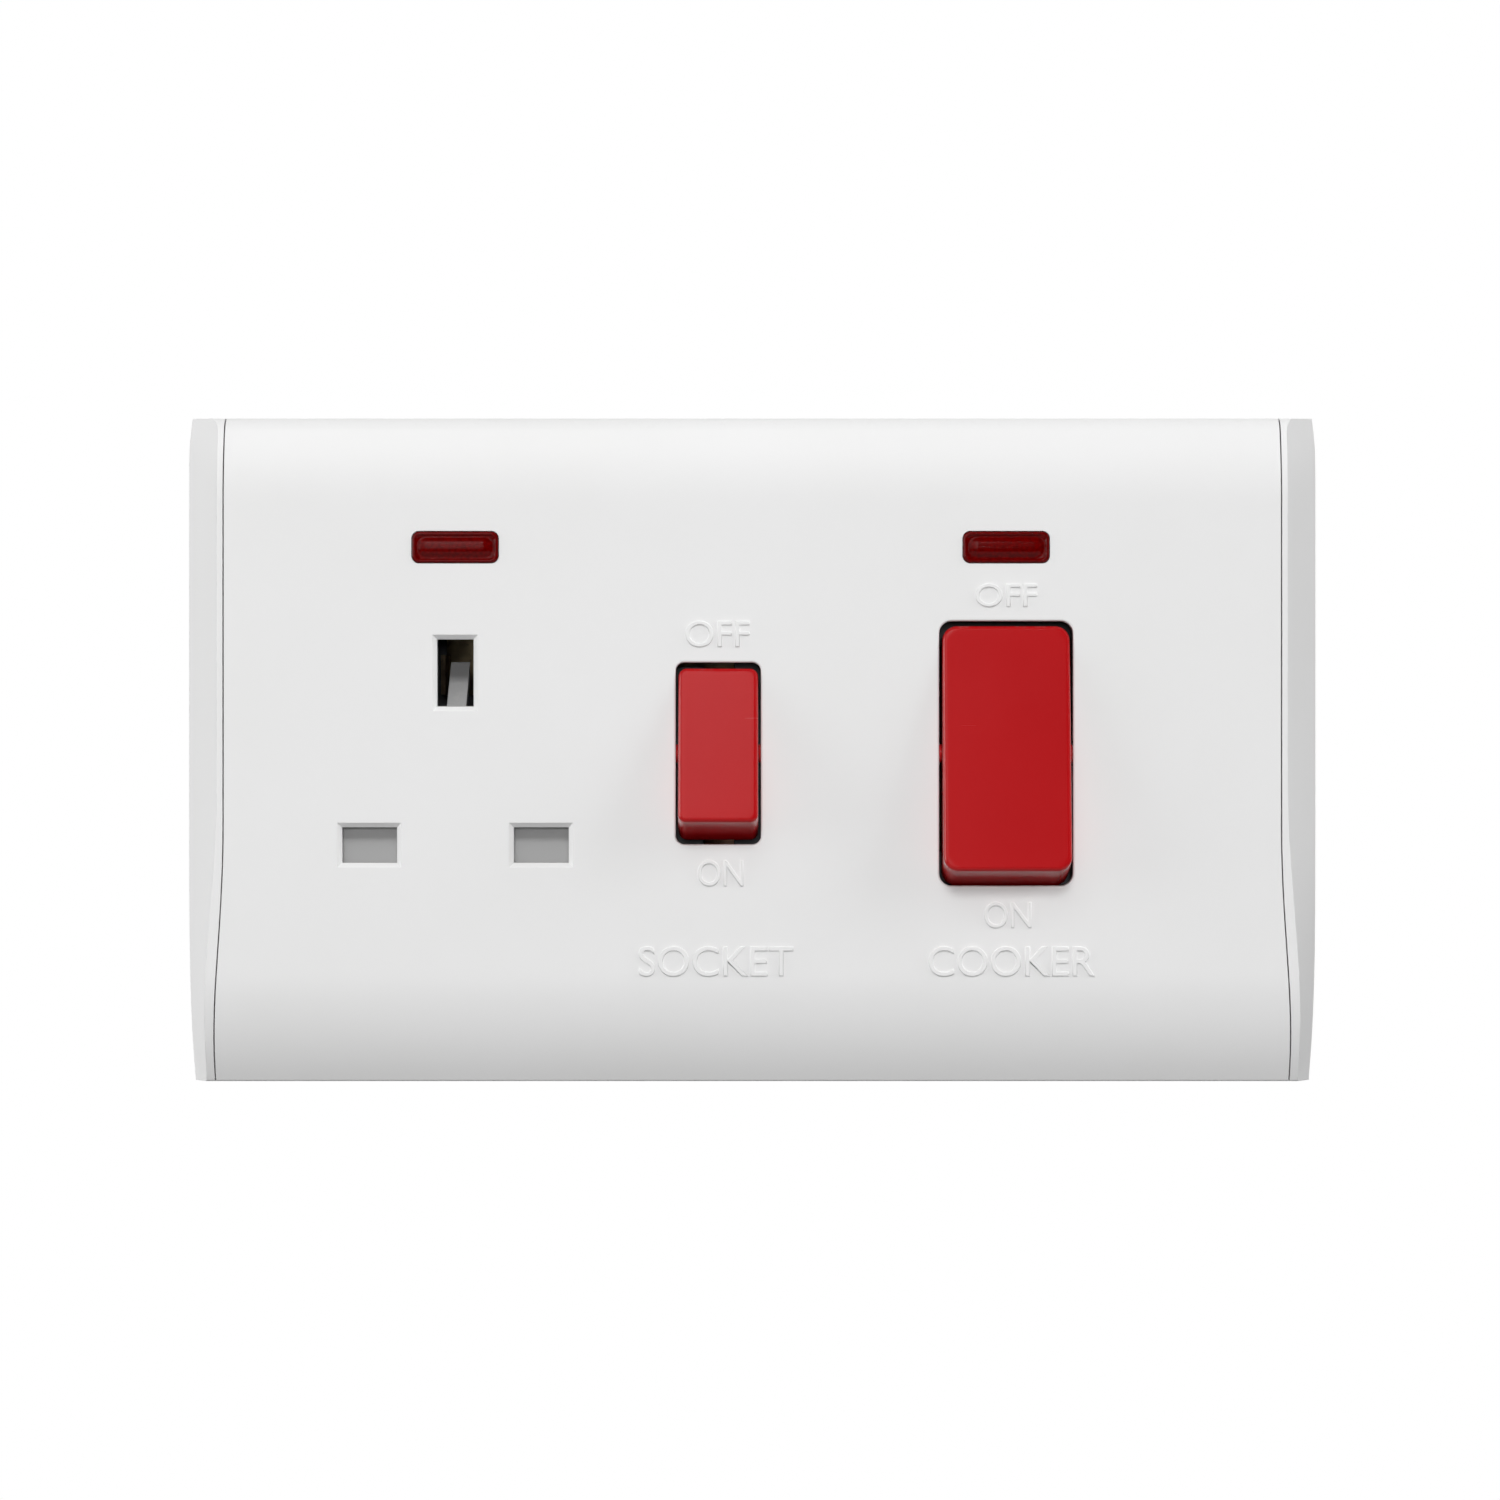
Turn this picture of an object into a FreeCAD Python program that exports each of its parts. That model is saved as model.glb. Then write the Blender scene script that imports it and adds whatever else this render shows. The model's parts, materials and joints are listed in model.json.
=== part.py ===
import FreeCAD, Part
import math
import os

# Cooker control unit for a double wall box: a shuttered three-pin socket with its own
# switch on the left and a two-pole cooker switch on the right.
# Frame: X to the right and Z up as seen from the room, Y into the wall.
# The wall surface is the plane y = 0 and the origin is the middle of the plate's back.
# Depths below are measured from the wall surface towards the room, so y is minus the depth.

# Overall size of the plate
HALF_HEIGHT = 43.0
HALF_WIDTH = 73.9
FACE = 9.5
WALL = 2.0

# Curved top and bottom of the face
TOP_TILT = 20.0
TOP_RADIUS = 26.3
TOP_EDGE = 2.44
TOP_SHARE = math.sin(math.radians(TOP_TILT))
TOP_FLAT = HALF_HEIGHT - TOP_EDGE * (1 - TOP_SHARE) - TOP_RADIUS * TOP_SHARE
BOTTOM_FLAT = HALF_HEIGHT - 14.2
BOTTOM_TILT = 30.0
BOTTOM_EDGE = 0.4

# Ends of the plate, parting lines of the end trims
RIDGE = HALF_WIDTH - 4.7
TOP_TAPER = 0.6
BOTTOM_TAPER = 0.9
RIDGE_BOW = 1.7
PART_LINE = HALF_WIDTH - 5.6
PART_BOW = 1.4
PART_GAP = 0.16
RIM = HALF_WIDTH - 7.4
RIM_DEPTH = 4.0
BEYOND_X = HALF_WIDTH + 6.1
BEYOND_Z = HALF_HEIGHT + 1.0

# Socket
SOCKET_X = -38.4
EARTH_Z = 9.95
PIN_DROP = 22.25
PIN_PITCH = 22.2
EARTH_SLOT = (4.7, 8.7)
PIN_SLOT = (7.1, 4.6)
SLOT_BEVEL = 0.6

# Neon lenses
NEON_Z = HALF_HEIGHT - 16.8
NEON_SIZE = (11.2, 4.1)
NEON_CORNER = 1.0

# Rockers: both turn on pins just behind the face
ROCKER_Z = -0.45
PIVOT = 7.2
TRUNNION = 1.2
RUNNING_FIT = 0.05
SMALL_X = -4.4
SMALL_HALF = (5.15, 10.2)
SMALL_OPENING = (2 * SMALL_HALF[0] + 0.7, 2 * SMALL_HALF[1] + 3.1)
SMALL_FRONT = 4.85
SMALL_TILT = 14.0
SMALL_DRAFT = 4.0
SMALL_CORNER = 1.1
LARGE_X = 32.8
LARGE_HALF = (8.25, 15.95)
LARGE_OPENING = (2 * LARGE_HALF[0] + 0.8, 2 * LARGE_HALF[1] + 2.3)
LARGE_FRONT = 4.7
LARGE_TILT = 9.0
LARGE_DRAFT = 6.6
LARGE_CORNER = 1.9
OPENING_EDGE = 0.3
ROCKER_EDGE = 0.6
ROCKER_SKIRT = 3.1
ROCKER_WALL = 1.7

# Moving contacts: each bar tips through the same angle about its knife edge
BAR_TILT = 8.0
BAR_WIDTH = 4.4
SMALL_BAR = -5.9
LARGE_BAR = -10.1
SMALL_BAR_THICK = 1.0
LARGE_BAR_THICK = 1.2
SMALL_REACH = 7.2
LARGE_REACH = 10.0
KNIFE = 0.5
CONTACT_GAP = 0.06
POLE_OFFSET = 5.6
STRIP = 1.0

# Frame, base and carriers
FRAME_HALF = (RIM - 0.1, HALF_HEIGHT - 2.2)
BASE_HALF = (HALF_WIDTH - 19.9, HALF_HEIGHT - 12.0)
BASE_BACK = -20.0
WINDOW = (BASE_HALF[0] - 1.0, BASE_HALF[1] - 1.0)
FLANGE = (BASE_HALF[0] + 2.8, BASE_HALF[1] + 4.0)
FLANGE_THICK = 2.0
CARRIER_HALF = WINDOW[1] - 0.3
CARRIER_END = WINDOW[0] - 0.2
CARRIER_TOP = 7.4
BOSS_X = BASE_HALF[0] - 10.0
BOSS_Z = BASE_HALF[1] + 1.6
FIXING_PITCH = 2 * (HALF_WIDTH - 13.6)
FIXING_HOLE = 2.0
FIXING_HEAD = 3.6
FIXING_FLOOR = 2.4

# Terminals
TERMINAL_HALF = 4.25
TERMINAL_Z = (BASE_HALF[1] - 10.5, BASE_HALF[1] - 1.5)
TERMINAL_DEPTH = (-19.0, -8.0)
TERMINAL_BORE = 2.8
TERMINAL_BORE_DEPTH = -12.7
TERMINAL_BORE_LENGTH = 8.0
RECESS = 5.2
LIVE_X = 25.8
NEUTRAL_X = 39.8
EARTH_X = (-47.0, -30.0)

# Shutter
SHUTTER_FRONT = 6.5
SHUTTER_THICK = 1.8
SHUTTER_TRAVEL = 5.7
RAMP_Z = (4.2, 11.6)
RAMP_BACK = -2.2
SPINE_HALF = 5.0
SPRING_Z = (-8.0, 4.0)
SPRING_RADIUS = 1.0
SPRING_DEPTH = 5.85
WIRE = 0.22

os.makedirs("parts", exist_ok=True)


def at(x, depth, z):
    """Point from its place across, its depth in front of the wall and its height."""
    return FreeCAD.Vector(x, -depth, z)


def block(x0, x1, d0, d1, z0, z1):
    """Box between two values across, two depths and two heights."""
    return Part.makeBox(x1 - x0, d1 - d0, z1 - z0, at(x0, d1, z0))


def rod_x(radius, x0, x1, depth, z):
    """Round rod lying across the plate."""
    return Part.makeCylinder(radius, x1 - x0, at(x0, depth, z), FreeCAD.Vector(1, 0, 0))


def rod_y(radius, d0, d1, x, z):
    """Round rod standing on the wall, from depth d0 out to d1."""
    return Part.makeCylinder(radius, d1 - d0, at(x, d0, z), FreeCAD.Vector(0, -1, 0))


def rod_z(radius, z0, z1, x, depth):
    """Upright round rod."""
    return Part.makeCylinder(radius, z1 - z0, at(x, depth, z0), FreeCAD.Vector(0, 0, 1))


def joined(shapes):
    """One solid out of several that touch or cross."""
    whole = shapes[0]
    for extra in shapes[1:]:
        whole = whole.fuse(extra)
    return whole.removeSplitter()


def less(shape, cuts):
    """The shape with every cut taken out of it."""
    for cut in cuts:
        shape = shape.cut(cut)
    return shape


def edges_along(shape, axis, test):
    """Straight edges that run along X, Y or Z and pass the test on their middle point."""
    found = []
    for edge in shape.Edges:
        if len(edge.Vertexes) < 2:
            continue
        span = edge.Vertexes[1].Point - edge.Vertexes[0].Point
        part = {"x": span.x, "y": span.y, "z": span.z}
        if span.Length > 0.01 and abs(part[axis]) > 0.999 * span.Length and test(edge.CenterOfMass):
            found.append(edge)
    return found


def rounded(shape, axis, radius):
    """The shape with all its edges along one axis rounded."""
    return shape.makeFillet(radius, edges_along(shape, axis, lambda p: True))


def save(node, shape, pieces=1):
    """Write one node, after a look that it is sound and has as many pieces as it should."""
    assert shape.isValid(), node
    assert len(shape.Solids) == pieces, node
    shape.exportStep("parts/" + node + ".step")


def arc_edge(z, depth, radius, a0, a1, x):
    """Arc in an upright plane across X, from angle a0 to a1 measured from +Z towards the room."""
    points = []
    for angle in (a0, (a0 + a1) / 2, a1):
        turn = math.radians(angle)
        points.append(at(x, depth + radius * math.sin(turn), z + radius * math.cos(turn)))
    return Part.Arc(*points).toShape()


def slab(inset, half):
    """The plate's side view, carried across from -half to half and drawn in by the inset."""
    top_z = HALF_HEIGHT - TOP_EDGE
    top_depth = FACE - TOP_RADIUS + (TOP_RADIUS - TOP_EDGE) * math.cos(math.radians(TOP_TILT))
    lean = math.radians(BOTTOM_TILT)
    bottom_radius = (HALF_HEIGHT - BOTTOM_FLAT - BOTTOM_EDGE) / math.sin(lean) + BOTTOM_EDGE
    low_z = BOTTOM_EDGE - HALF_HEIGHT
    low_depth = FACE - bottom_radius + (bottom_radius - BOTTOM_EDGE) * math.cos(lean)
    small = max(BOTTOM_EDGE - inset, 0.05)
    edges = [
        arc_edge(top_z, top_depth, TOP_EDGE - inset, 0, 90 - TOP_TILT, -half),
        arc_edge(TOP_FLAT, FACE - TOP_RADIUS, TOP_RADIUS - inset, 90 - TOP_TILT, 90, -half),
        arc_edge(-BOTTOM_FLAT, FACE - bottom_radius, bottom_radius - inset, 90, 90 + BOTTOM_TILT, -half),
    ]
    if inset == 0:
        edges.append(arc_edge(low_z, low_depth, small, 90 + BOTTOM_TILT, 180, -half))
    ends = [edge.Vertexes for edge in edges]
    wall_top = at(-half, 0, top_z + TOP_EDGE - inset)
    wall_low = at(-half, 0, ends[-1][1].Point.z)
    edges.append(Part.makeLine(wall_top, ends[0][0].Point))
    edges.append(Part.makeLine(ends[1][1].Point, ends[2][0].Point))
    edges.append(Part.makeLine(ends[-1][1].Point, wall_low))
    edges.append(Part.makeLine(wall_low, wall_top))
    wire = Part.Wire(Part.__sortEdges__(edges))
    return Part.Face(wire).extrude(FreeCAD.Vector(2 * half, 0, 0))


def ease(z, start, end):
    """Smooth step: nothing above the start height, one below the end height."""
    share = min(max((start - z) / (start - end), 0.0), 1.0)
    return (1 - math.cos(math.pi * share)) / 2


def wall_half(z):
    """Half width of the plate where it meets the wall."""
    taper, power = (TOP_TAPER, 24) if z > 0 else (BOTTOM_TAPER, 5)
    return HALF_WIDTH - taper * (min(abs(z), HALF_HEIGHT) / HALF_HEIGHT) ** power


def face_depth(z):
    """Depth of the curved face at a height, short of its rounded edges."""
    lean = math.radians(BOTTOM_TILT)
    bottom_radius = (HALF_HEIGHT - BOTTOM_FLAT - BOTTOM_EDGE) / math.sin(lean) + BOTTOM_EDGE
    radius, past, tilt = (TOP_RADIUS, z - TOP_FLAT, TOP_TILT) if z > 0 else (bottom_radius, -z - BOTTOM_FLAT, BOTTOM_TILT)
    turn = math.asin(min(max(past, 0.0) / radius, math.sin(math.radians(tilt))))
    return FACE - radius * (1 - math.cos(turn))


def front_half(z):
    """Half width that the sloping ends would reach at 12 mm depth, so that they meet the face along the ridge."""
    ridge = RIDGE + RIDGE_BOW * ease(z, -4.0, 6.0 - HALF_HEIGHT)
    return wall_half(z) + (ridge - wall_half(z)) * 12.0 / face_depth(z)


def parting_half(z):
    """Half width of the front plate along the parting lines."""
    return PART_LINE + PART_BOW * ease(z, -10.0, 1.0 - HALF_HEIGHT)


def outline(depth, half_at, spare):
    """Closed outline seen from the front, its two sides following the half width given."""
    heights = [BEYOND_Z * (1 - step / 22) for step in range(45)]
    right = [at(half_at(z) + spare, depth, z) for z in heights]
    left = [at(-half_at(z) - spare, depth, z) for z in reversed(heights)]
    right_curve = Part.BSplineCurve()
    right_curve.interpolate(right)
    left_curve = Part.BSplineCurve()
    left_curve.interpolate(left)
    low = Part.makeLine(right[-1], left[0])
    high = Part.makeLine(left[-1], right[0])
    return Part.Wire([right_curve.toShape(), low, left_curve.toShape(), high])


def parting_prism(spare):
    """Everything between the two parting lines, with the spare added on both sides."""
    face = Part.Face(outline(-1.0, parting_half, spare))
    return face.extrude(FreeCAD.Vector(0, -14.0, 0))


def bevelled_slot(x, z, size):
    """Pin slot right through the face, opened out by the bevel at the front."""
    half_x = size[0] / 2
    half_z = size[1] / 2
    over = 0.3
    wide = SLOT_BEVEL + over
    bevel = Part.makeWedge(
        x - half_x - wide, -FACE - over, z - half_z - wide, z - half_z, x - half_x,
        x + half_x + wide, -FACE + SLOT_BEVEL, z + half_z + wide, z + half_z, x + half_x)
    return block(x - half_x, x + half_x, 5.0, FACE + over, z - half_z, z + half_z).fuse(bevel)


def rounded_opening(x, z, size, corner, d0, d1):
    """Opening or plug with round corners seen from the front."""
    raw = block(x - size[0] / 2, x + size[0] / 2, d0, d1, z - size[1] / 2, z + size[1] / 2)
    return rounded(raw, "y", corner)


# Front plate and the end trims that carry its lines out to the ends
whole = slab(0.0, HALF_WIDTH + 2.1).common(Part.makeLoft([outline(0.0, wall_half, 0.0), outline(12.0, front_half, 0.0)], True, True))
inner = slab(WALL, FRAME_HALF[0] - 0.2).common(block(-BEYOND_X, BEYOND_X, -1, 20, WALL - HALF_HEIGHT, HALF_HEIGHT - WALL))
plate = whole.common(parting_prism(0.0)).cut(inner)
for side in (-1, 1):
    end = sorted((side * (FRAME_HALF[0] - 0.3), side * BEYOND_X))
    plate = plate.cut(block(end[0], end[1], -1.0, RIM_DEPTH + 0.05, -BEYOND_Z, BEYOND_Z))

small_cut = rounded_opening(SMALL_X, ROCKER_Z, SMALL_OPENING, 1.1, 5.0, 12.0)
large_cut = rounded_opening(LARGE_X, ROCKER_Z, LARGE_OPENING, 1.6, 5.0, 12.0)
plate = less(plate, [small_cut, large_cut])
rims = []
for edge in plate.Edges:
    spot = edge.BoundBox
    level = abs(spot.YMin + FACE) < 0.001 and abs(spot.YMax + FACE) < 0.001
    for centre, size in ((SMALL_X, SMALL_OPENING), (LARGE_X, LARGE_OPENING)):
        inside = abs(spot.Center.x - centre) < size[0] / 2 + 0.1 and abs(spot.Center.z - ROCKER_Z) < size[1] / 2 + 0.1
        if level and inside:
            rims.append(edge)
plate = plate.makeFillet(OPENING_EDGE, rims)

LIVE_PIN_X = SOCKET_X + PIN_PITCH / 2
NEUTRAL_PIN_X = SOCKET_X - PIN_PITCH / 2
PIN_Z = EARTH_Z - PIN_DROP
cuts = [bevelled_slot(SOCKET_X, EARTH_Z, EARTH_SLOT)]
for pin_x in (LIVE_PIN_X, NEUTRAL_PIN_X):
    cuts.append(bevelled_slot(pin_x, PIN_Z, PIN_SLOT))
lens_hole = (NEON_SIZE[0] + 0.1, NEON_SIZE[1] + 0.1)
for neon_x in (SOCKET_X, LARGE_X):
    cuts.append(rounded_opening(neon_x, NEON_Z, lens_hole, NEON_CORNER, 5.0, 12.0))
for rocker_x, size in ((SMALL_X, SMALL_OPENING), (LARGE_X, LARGE_OPENING)):
    reach = size[0] / 2 + 3.2
    cuts.append(block(rocker_x - reach, rocker_x + reach, 5.0, PIVOT + TRUNNION + 0.1, ROCKER_Z - 1.6, ROCKER_Z + 1.6))
plate = less(plate, cuts)

HOOK_X = BASE_HALF[0] - 26.0
POST_X = (6.0 - BASE_HALF[0], 0.0, BASE_HALF[0] - 6.0)
HOOK_Z = FRAME_HALF[1] - 3.9
extras = []
for sign, root in ((-1, 6.4), (1, 7.4)):
    for post_x in POST_X:
        z0, z1 = sorted((sign * (HOOK_Z + 0.1), sign * (HOOK_Z + 3.1)))
        extras.append(block(post_x - 2.5, post_x + 2.5, RIM_DEPTH, root, z0, z1))
    for hook_x in (-HOOK_X, HOOK_X):
        z0, z1 = sorted((sign * HOOK_Z, sign * (HOOK_Z + 1.2)))
        extras.append(block(hook_x - 4.0, hook_x + 4.0, 0.9, root + 0.2, z0, z1))
        z0, z1 = sorted((sign * (HOOK_Z + 1.2), sign * (HOOK_Z + 2.1)))
        extras.append(block(hook_x - 4.0, hook_x + 4.0, 0.9, 1.9, z0, z1))
plate = joined([plate] + extras)
save("front_plate", plate)

outside = whole.cut(parting_prism(PART_GAP))
rim_ring = whole.common(block(-BEYOND_X, BEYOND_X, 0, RIM_DEPTH - 0.05, -BEYOND_Z, BEYOND_Z))
TONGUE_Z = (HALF_HEIGHT - 21.0, HALF_HEIGHT - 13.0)
for side, node in ((-1, "left_end_trim"), (1, "right_end_trim")):
    x0, x1 = sorted((side * RIM, side * BEYOND_X))
    ledge = rim_ring.common(block(x0, x1, -1, 12, -BEYOND_Z, BEYOND_Z))
    strip = outside.common(block(x0, x1, -1, 12, -BEYOND_Z, BEYOND_Z))
    tongues = []
    for sign in (-1, 1):
        x0, x1 = sorted((side * (RIM - 3.0), side * (RIM + 0.5)))
        z0, z1 = sorted((sign * TONGUE_Z[0], sign * TONGUE_Z[1]))
        tongues.append(block(x0, x1, 1.2, 2.6, z0, z1))
    save(node, joined([ledge, strip] + tongues))

# Mounting frame: rests on the wall, takes the two fixing screws, the base and the plate
frame_half_x = FRAME_HALF[0] + 0.1
mounting = block(-frame_half_x, frame_half_x, 0, RIM_DEPTH, -FRAME_HALF[1], FRAME_HALF[1])
mounting = rounded(mounting, "y", 1.5)
clear = 0.2
cuts = [
    block(-WINDOW[0], WINDOW[0], -1, 8, -WINDOW[1], WINDOW[1]),
    block(-FLANGE[0] - clear, FLANGE[0] + clear, -1, FLANGE_THICK, -FLANGE[1] - clear, FLANGE[1] + clear),
]
for side in (-1, 1):
    cuts.append(rod_y(FIXING_HOLE, -1, 8, side * FIXING_PITCH / 2, 0))
    cuts.append(rod_y(FIXING_HEAD, FIXING_FLOOR, 8, side * FIXING_PITCH / 2, 0))
    for sign in (-1, 1):
        x0, x1 = sorted((side * (RIM - 3.2), side * (RIM + 1)))
        z0, z1 = sorted((sign * (TONGUE_Z[0] - 0.2), sign * (TONGUE_Z[1] + 0.2)))
        cuts.append(block(x0, x1, 1.1, 2.7, z0, z1))
        x0 = side * HOOK_X - 4.3
        z0, z1 = sorted((sign * (HOOK_Z - 0.2), sign * (HOOK_Z + 1.4)))
        cuts.append(block(x0, x0 + 8.6, -1, 8, z0, z1))
        z0, z1 = sorted((sign * (HOOK_Z - 0.2), sign * (HOOK_Z + 2.4)))
        cuts.append(block(x0, x0 + 8.6, -1, 2.0, z0, z1))
mounting = less(mounting, cuts)
ring = []
for side in (-1, 1):
    for sign in (-1, 1):
        ring.append(rod_y(2.5, RIM_DEPTH, 6.2, side * BOSS_X, sign * BOSS_Z))
mounting = joined([mounting] + ring)
pilots = [rod_y(1.3, -1, 5.8, side * BOSS_X, sign * BOSS_Z) for side in (-1, 1) for sign in (-1, 1)]
mounting = less(mounting, pilots)
save("mounting_frame", mounting)


def cup_cut(x, half):
    """Room under a rocker for its skirt: half is the half size across and up."""
    return block(x - half[0], x + half[0], 0.4, FLANGE_THICK + 1, ROCKER_Z - half[1], ROCKER_Z + half[1])


SMALL_WELL = (SMALL_OPENING[0] / 2 + 0.2, SMALL_OPENING[1] / 2 + 0.55)
LARGE_WELL = (LARGE_OPENING[0] / 2 + 0.2, LARGE_OPENING[1] / 2 + 1.2)
POLES = (LARGE_X - POLE_OFFSET, LARGE_X + POLE_OFFSET)


def bar_touch(depth, reach, thick, ball):
    """Height and depth of the middle of a fixed contact's dome, met by a bar tipped to closed."""
    turn = math.radians(BAR_TILT)
    below = thick + ball + CONTACT_GAP
    z = reach * math.cos(turn) - below * math.sin(turn)
    back = reach * math.sin(turn) + below * math.cos(turn)
    return ROCKER_Z + z, depth - back


BUTTON = 0.8
BALL = 3.0
small_dome = bar_touch(SMALL_BAR, SMALL_REACH, BUTTON, BALL)
large_dome = bar_touch(LARGE_BAR, LARGE_REACH, BUTTON, BALL)
SMALL_STRIP = small_dome[1] + BALL - 1.0
LARGE_STRIP = large_dome[1] + BALL - 1.0
LINK_BACK = -12.0
POLE_BACK = -17.5
EARTH_STRIP = -14.0
NEUTRAL_STRIP = -5.6
LIVE_RUN = (11.0, 15.0)
LINK_RUN = (-TERMINAL_Z[0] - 4.5, -TERMINAL_Z[0] - 0.5)
NEUTRAL_RUN = (0.1 - TERMINAL_Z[1], 2.9 - TERMINAL_Z[1])
STRIP_END = TERMINAL_Z[0] + 0.1

# Base: one deep moulding behind the frame with a well for every contact
base = block(-BASE_HALF[0], BASE_HALF[0], BASE_BACK, FLANGE_THICK, -BASE_HALF[1], BASE_HALF[1])
base = rounded(base, "y", 2.0)
flange = rounded(block(-FLANGE[0], FLANGE[0], 0, FLANGE_THICK, -FLANGE[1], FLANGE[1]), "y", 2.0)
base = joined([base, flange])
cuts = [cup_cut(SMALL_X, SMALL_WELL), cup_cut(LARGE_X, LARGE_WELL)]
top = FLANGE_THICK + 1
for pole in POLES:
    cuts.append(block(pole - 3.4, pole + 3.4, POLE_BACK, top, -13.4, 13.6))
    cuts.append(block(pole - 2.3, pole + 2.3, POLE_BACK, POLE_BACK + STRIP + 0.1, -STRIP_END, -13.0))
    cuts.append(block(pole - 2.3, pole + 2.3, LARGE_STRIP - STRIP - 0.05, LARGE_STRIP + 0.1, 13.0, STRIP_END))
cuts.append(block(SMALL_X - 3.2, SMALL_X + 3.2, LINK_BACK, top, -10.0, 10.4))
cuts.append(block(SMALL_X - 2.1, SMALL_X + 2.1, LINK_BACK, top, LINK_RUN[0] - 0.1, -9.0))
cuts.append(block(SMALL_X - 2.1, LIVE_X - RECESS + 0.1, LINK_BACK, top, LINK_RUN[0] - 0.1, LINK_RUN[1] + 0.1))
strip_floor = SMALL_STRIP - STRIP
cuts.append(block(SMALL_X - 2.1, SMALL_X + 2.1, strip_floor, top, 9.0, LIVE_RUN[1] + 0.1))
cuts.append(block(LIVE_PIN_X - 2.1, SMALL_X + 2.1, strip_floor, top, LIVE_RUN[0] - 0.1, LIVE_RUN[1] + 0.1))
cuts.append(block(LIVE_PIN_X - 2.1, LIVE_PIN_X + 2.1, strip_floor, top, -9.0, LIVE_RUN[1] + 0.1))
cuts.append(block(LIVE_PIN_X - 3.4, LIVE_PIN_X + 3.4, strip_floor, top, PIN_Z - 3.6, PIN_Z + 3.6))
cuts.append(block(NEUTRAL_PIN_X - 3.4, NEUTRAL_PIN_X + 3.4, strip_floor, top, PIN_Z - 8.0, PIN_Z + 3.6))
cuts.append(block(NEUTRAL_PIN_X - 2.1, NEUTRAL_PIN_X + 2.1, NEUTRAL_STRIP - STRIP, top, NEUTRAL_RUN[0] - 0.1, PIN_Z - 7.0))
cuts.append(block(NEUTRAL_PIN_X - 2.1, NEUTRAL_X + 2.1, NEUTRAL_STRIP - STRIP, top, NEUTRAL_RUN[0] - 0.1, NEUTRAL_RUN[1] + 0.1))
cuts.append(block(NEUTRAL_X - 2.1, NEUTRAL_X + 2.1, -9.0, top, NEUTRAL_RUN[0] - 0.1, NEUTRAL_RUN[1] + 0.1))
cuts.append(block(SOCKET_X - 4.4, SOCKET_X + 4.4, EARTH_STRIP - STRIP, top, 4.6, STRIP_END - 3.6))
cuts.append(block(EARTH_X[0] - 2.3, EARTH_X[1] + 2.3, EARTH_STRIP - STRIP, top, STRIP_END - 4.2, STRIP_END))
# Way for the shutter's ramp when it is pushed down
cuts.append(block(SOCKET_X - 1.7, SOCKET_X + 1.7, -2.7, top, RAMP_Z[0] - SHUTTER_TRAVEL - 0.5, 5.0))
TOP_TERMINALS = (("supply_earth_terminal", EARTH_X[0]), ("load_earth_terminal", EARTH_X[1]),
                 ("load_live_terminal", LIVE_X), ("load_neutral_terminal", NEUTRAL_X))
LOW_TERMINALS = (("supply_live_terminal", LIVE_X), ("supply_neutral_terminal", NEUTRAL_X))
for node, x in TOP_TERMINALS:
    cuts.append(block(x - RECESS, x + RECESS, BASE_BACK - 1, TERMINAL_DEPTH[1], TERMINAL_Z[0] - 0.5, BASE_HALF[1] + 5.0))
for node, x in LOW_TERMINALS:
    cuts.append(block(x - RECESS, x + RECESS, BASE_BACK - 1, TERMINAL_DEPTH[1], -BASE_HALF[1] - 5.0, 0.5 - TERMINAL_Z[0]))
SCREW_LEFT = 3.4 - BASE_HALF[0]
SCREW_RIGHT = BASE_HALF[0] - 5.2
SCREW_SPOTS = ((SCREW_LEFT, 3.0), (-20.0, -3.0), (12.4, 12.0), (12.4, -12.0), (SCREW_RIGHT, 14.0), (SCREW_RIGHT, -14.0))
SCREW_SHANK = 1.25
SCREW_HEAD = 2.3
SCREW_FLOOR = 4.4
for x, z in SCREW_SPOTS:
    cuts.append(rod_y(SCREW_SHANK + 0.05, -5.0, top, x, z))
for side in (-1, 1):
    for sign in (-1, 1):
        cuts.append(rod_y(1.5, -1, top, side * BOSS_X, sign * BOSS_Z))
        cuts.append(rod_y(2.8, BASE_BACK - 1, -0.0, side * BOSS_X, sign * BOSS_Z))
# Two shallow fields lighten the back wall of the socket's side
FIELD_END = BASE_HALF[1] - 3.0
FIELD_TOP = TERMINAL_Z[0] - 5.5
cuts.append(block(3.0 - BASE_HALF[0], -35.0, BASE_BACK - 1, BASE_BACK + 2.0, -FIELD_END, FIELD_TOP))
cuts.append(block(-33.0, -8.0, BASE_BACK - 1, BASE_BACK + 4.0, -FIELD_END, FIELD_TOP))
cuts.append(block(-6.0, 18.6, BASE_BACK - 1, BASE_BACK + 4.0, -FIELD_END, FIELD_END))
base = less(base, cuts)
save("base_housing", base)

# Shutter carrier: guides the shutter and holds the socket's neon lamp
lower = block(-CARRIER_END, -16.0, FLANGE_THICK, RIM_DEPTH + 0.1, -CARRIER_HALF, CARRIER_HALF)
upper = block(-CARRIER_END - 2.6, -16.0, RIM_DEPTH + 0.1, CARRIER_TOP, -CARRIER_HALF, CARRIER_HALF)
carrier = joined([lower, upper])
SHUTTER_BACK = SHUTTER_FRONT - SHUTTER_THICK
track = SHUTTER_BACK - 0.15
high = CARRIER_TOP + 1
FLAP_Z = (-15.4, -9.2)
FLAP_REACH = (-53.6, -23.1)
side_clear = 0.3
pocket = 3.4


def neon_room(x):
    """Room for a lens flange, a lamp and its resistor."""
    return [
        block(x - 6.7, x + 6.7, pocket, high, NEON_Z - 3.2, NEON_Z + 3.2),
        block(x - 7.4, x + 7.4, pocket, high, NEON_Z - 6.8, NEON_Z - 3.0),
    ]


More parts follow.
